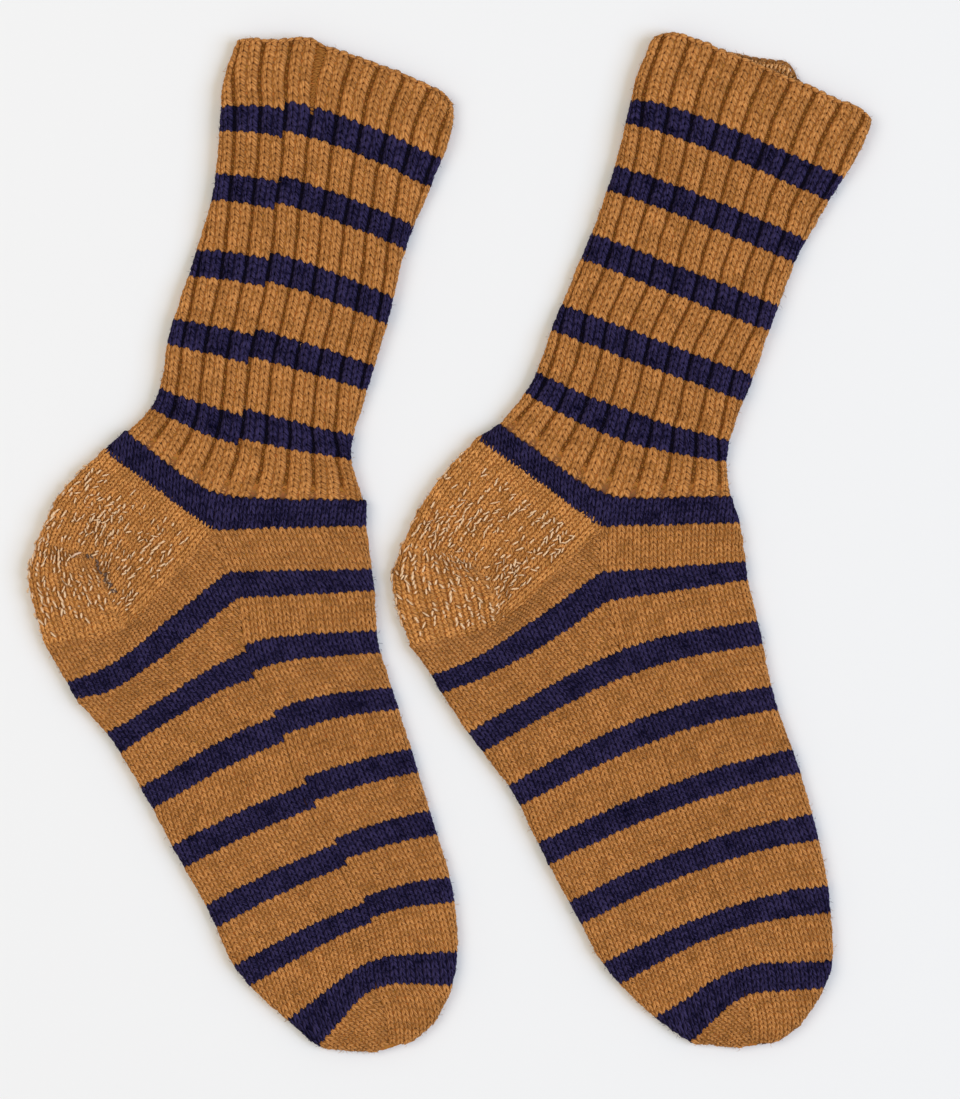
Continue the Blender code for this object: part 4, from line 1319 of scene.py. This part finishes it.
def skin_mesh(side):
    """The tube of one sock, closed at the toe, with its stripes."""
    stations = np.r_[SKIN_START, np.arange(SKIN_ROWS, LAST_STATION, SKIN_ROWS), LAST_STATION]
    tubes = rounds(whole_courses(side), stations, SOCKS[side])
    shares = np.r_[np.linspace(0, 1, UPPER_STEPS, endpoint=False),
                   np.linspace(1, 2, LOWER_STEPS, endpoint=False)]
    around = np.array([t.half * shares for t in tubes])
    rings = np.array([t.at(s) for t, s in zip(tubes, around)])
    out = outward(tubes, around, rings)
    ribbed = np.interp(stations, (LEG_ROWS - RIBS_END, LEG_ROWS), (1, 0))[:, None]
    upper = SKIN_PLAIN + (SKIN_RIBS - SKIN_PLAIN) * ribbed
    sink = SKIN_UNDER + (upper - SKIN_UNDER) * (1 + out[..., 2]) / 2
    rings = (rings - out * sink[..., None]) * MM
    count = rings.shape[1]
    verts = rings.reshape(-1, 3).tolist() + [rings[-1].mean(axis=0).tolist()]
    last = (len(rings) - 1) * count
    faces = []
    for start in range(0, last, count):
        for k in range(count):
            after = (k + 1) % count
            faces.append((start + k, start + count + k, start + count + after, start + after))
    faces += [(last + k, len(verts) - 1, last + (k + 1) % count) for k in range(count)]
    mesh = bpy.data.meshes.new(f"{side}_cloth")
    mesh.from_pydata(verts, [], faces)
    blue = np.r_[np.repeat(is_navy(knitted_row(stations)), count), 0].astype(float)
    mesh.attributes.new("stripe", "FLOAT", "POINT").data.foreach_set("value", blue)
    return mesh


CLOTH_BROWN, CLOTH_NAVY = (0.60, 0.235, 0.048, 1), (0.014, 0.010, 0.040, 1)
FLUFF_SCALE, FLUFF_SHARE = 900, 0.5  # how fine the fluff's specks are, and how much they darken
CLOTH_ROUGHNESS, CLOTH_GLOSS = 1.0, 0.1


def cloth_material():
    """Fluffy wool without stitches, striped and shaded by its faces' attributes."""
    material, tree, shader = plain_material("cloth_body")
    stripe = add(tree, "ShaderNodeAttribute", attribute_name="stripe").outputs["Fac"]
    noise = fill(add(tree, "ShaderNodeTexNoise"), {"Scale": FLUFF_SCALE})
    tree.links.new(add(tree, "ShaderNodeTexCoord").outputs["Object"], noise.inputs["Vector"])
    mix = add(tree, "ShaderNodeMix", data_type="RGBA")
    tree.links.new(stripe, mix.inputs["Factor"])
    mix.inputs[6].default_value = CLOTH_BROWN
    mix.inputs[7].default_value = CLOTH_NAVY
    dim = add(tree, "ShaderNodeMix", data_type="RGBA", blend_type="MULTIPLY")
    dim.inputs["Factor"].default_value = FLUFF_SHARE
    tree.links.new(mix.outputs[2], dim.inputs[6])
    tree.links.new(noise.outputs["Color"], dim.inputs[7])
    deep = add(tree, "ShaderNodeMix", data_type="RGBA", blend_type="MULTIPLY")
    deep.inputs[7].default_value = VALLEY_SHADE
    # The valley attribute marks the deep valley cells, whose colour gets painted shade.
    valley = add(tree, "ShaderNodeAttribute", attribute_name="valley").outputs["Fac"]
    tree.links.new(valley, deep.inputs["Factor"])
    tree.links.new(dim.outputs[2], deep.inputs[6])
    tree.links.new(deep.outputs[2], shader.inputs["Base Color"])
    relief(tree, noise.outputs["Fac"], shader)
    fill(shader, {"Roughness": CLOTH_ROUGHNESS, "Specular IOR Level": CLOTH_GLOSS})
    return material


def give_wall(piece, thick):
    """Thicken a skin inwards, in millimetres."""
    wall = piece.modifiers.new("wall", "SOLIDIFY")
    wall.thickness = thick * MM
    wall.offset = -1


cloth_body = cloth_material()
for side, mesh in backing_meshes.items():
    mesh.materials.append(cloth_body)
    give_wall(finished(side, f"{side}_backing", mesh), BACKING_WALL)
# Each sock's tube narrows on the way from cuff to toe, so its flat area, printed below, is less than
# its girth all round times its length along the bend.
for side in SOCKS:
    mesh = skin_mesh(side)
    mesh.materials.append(cloth_body)
    mesh.shade_smooth()
    shell = put(f"{side}_cloth", mesh)
    give_wall(shell, CLOTH_WALL)
    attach(shell, "root")
    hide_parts(f"sock_{side}")
    print(shell.name, "skin area", round(sum(f.area for f in mesh.polygons), 4), "square metres")

# %% [markdown]
# ## Floor, light and camera
# The socks lie on a plain pale table in a room with warm walls. A wide window on the right gives a cool
# light and the left side a weaker, neutral one, so that the shadows to the left of the socks turn beige
# and those to the right stay grey. The camera hangs straight above them.

# %% Lay the floor
for template in stitches.values():
    bpy.data.objects.remove(template)  # the stitch shapes aren't needed any more

FLOOR_REACH, FLOOR_DROP = 3.0, 0.0002  # metres to each side of the middle, and below the socks
FLOOR_CORNERS = ((-1, -1), (1, -1), (1, 1), (-1, 1))
FLOOR_FINISH = {"Base Color": (0.90, 0.90, 0.895, 1), "Roughness": 0.8, "Specular IOR Level": 0.2}
floor_mesh = bpy.data.meshes.new("floor")
corners = [(x * FLOOR_REACH, y * FLOOR_REACH, -FLOOR_DROP) for x, y in FLOOR_CORNERS]
floor_mesh.from_pydata(corners, [], [(0, 1, 2, 3)])
floor = put("floor", floor_mesh)
pale_table, _, table_shader = plain_material("pale_table")
fill(table_shader, FLOOR_FINISH)
floor_mesh.materials.append(pale_table)
print("floor:", 2 * FLOOR_REACH, "metres square")

# %% Light the room
LIGHTS = {  # place, size, power in watts and colour
    "neutral_fill": ((-2.2, 0.7, 2.6), 2.0, 34, (1.0, 0.975, 0.93)),
    "cool_window": ((5.2, -0.6, 4.2), 4.2, 326, (0.61, 0.75, 1.0)),
}
ROOM = {"Color": (1.0, 0.912, 0.766, 1), "Strength": 0.55}
for light_name, (place, size, power, colour) in LIGHTS.items():
    data = bpy.data.lights.new(light_name, "AREA")
    data.shape, data.size, data.energy, data.color = "SQUARE", size, power, colour
    light = put(light_name, data)
    light.location = place
    light.rotation_euler = (-light.location).to_track_quat("-Z", "Y").to_euler()
world = bpy.data.worlds.new("warm_room")
world.use_nodes = True
fill(world.node_tree.nodes["Background"], ROOM)
bpy.context.scene.world = world
bpy.context.scene.view_settings.view_transform = "Standard"
print("lights:", list(LIGHTS))

# %% Hang the camera
CAMERA_PLACE, CAMERA_HEIGHT = (0.0120, -0.0026), 1.4
VIEW_HEIGHT, OUTLINE_HEIGHT, SENSOR = 0.4584, 0.003, 24.0  # metres seen at the height of the outline
camera_data = bpy.data.cameras.new("camera")
camera_data.sensor_fit = "VERTICAL"
camera_data.sensor_height = SENSOR
camera_data.lens = SENSOR * (CAMERA_HEIGHT - OUTLINE_HEIGHT) / VIEW_HEIGHT
camera = put("camera", camera_data)
camera.location = (*CAMERA_PLACE, CAMERA_HEIGHT)
bpy.context.scene.camera = camera
print("lens:", round(camera_data.lens, 1), "millimetres")
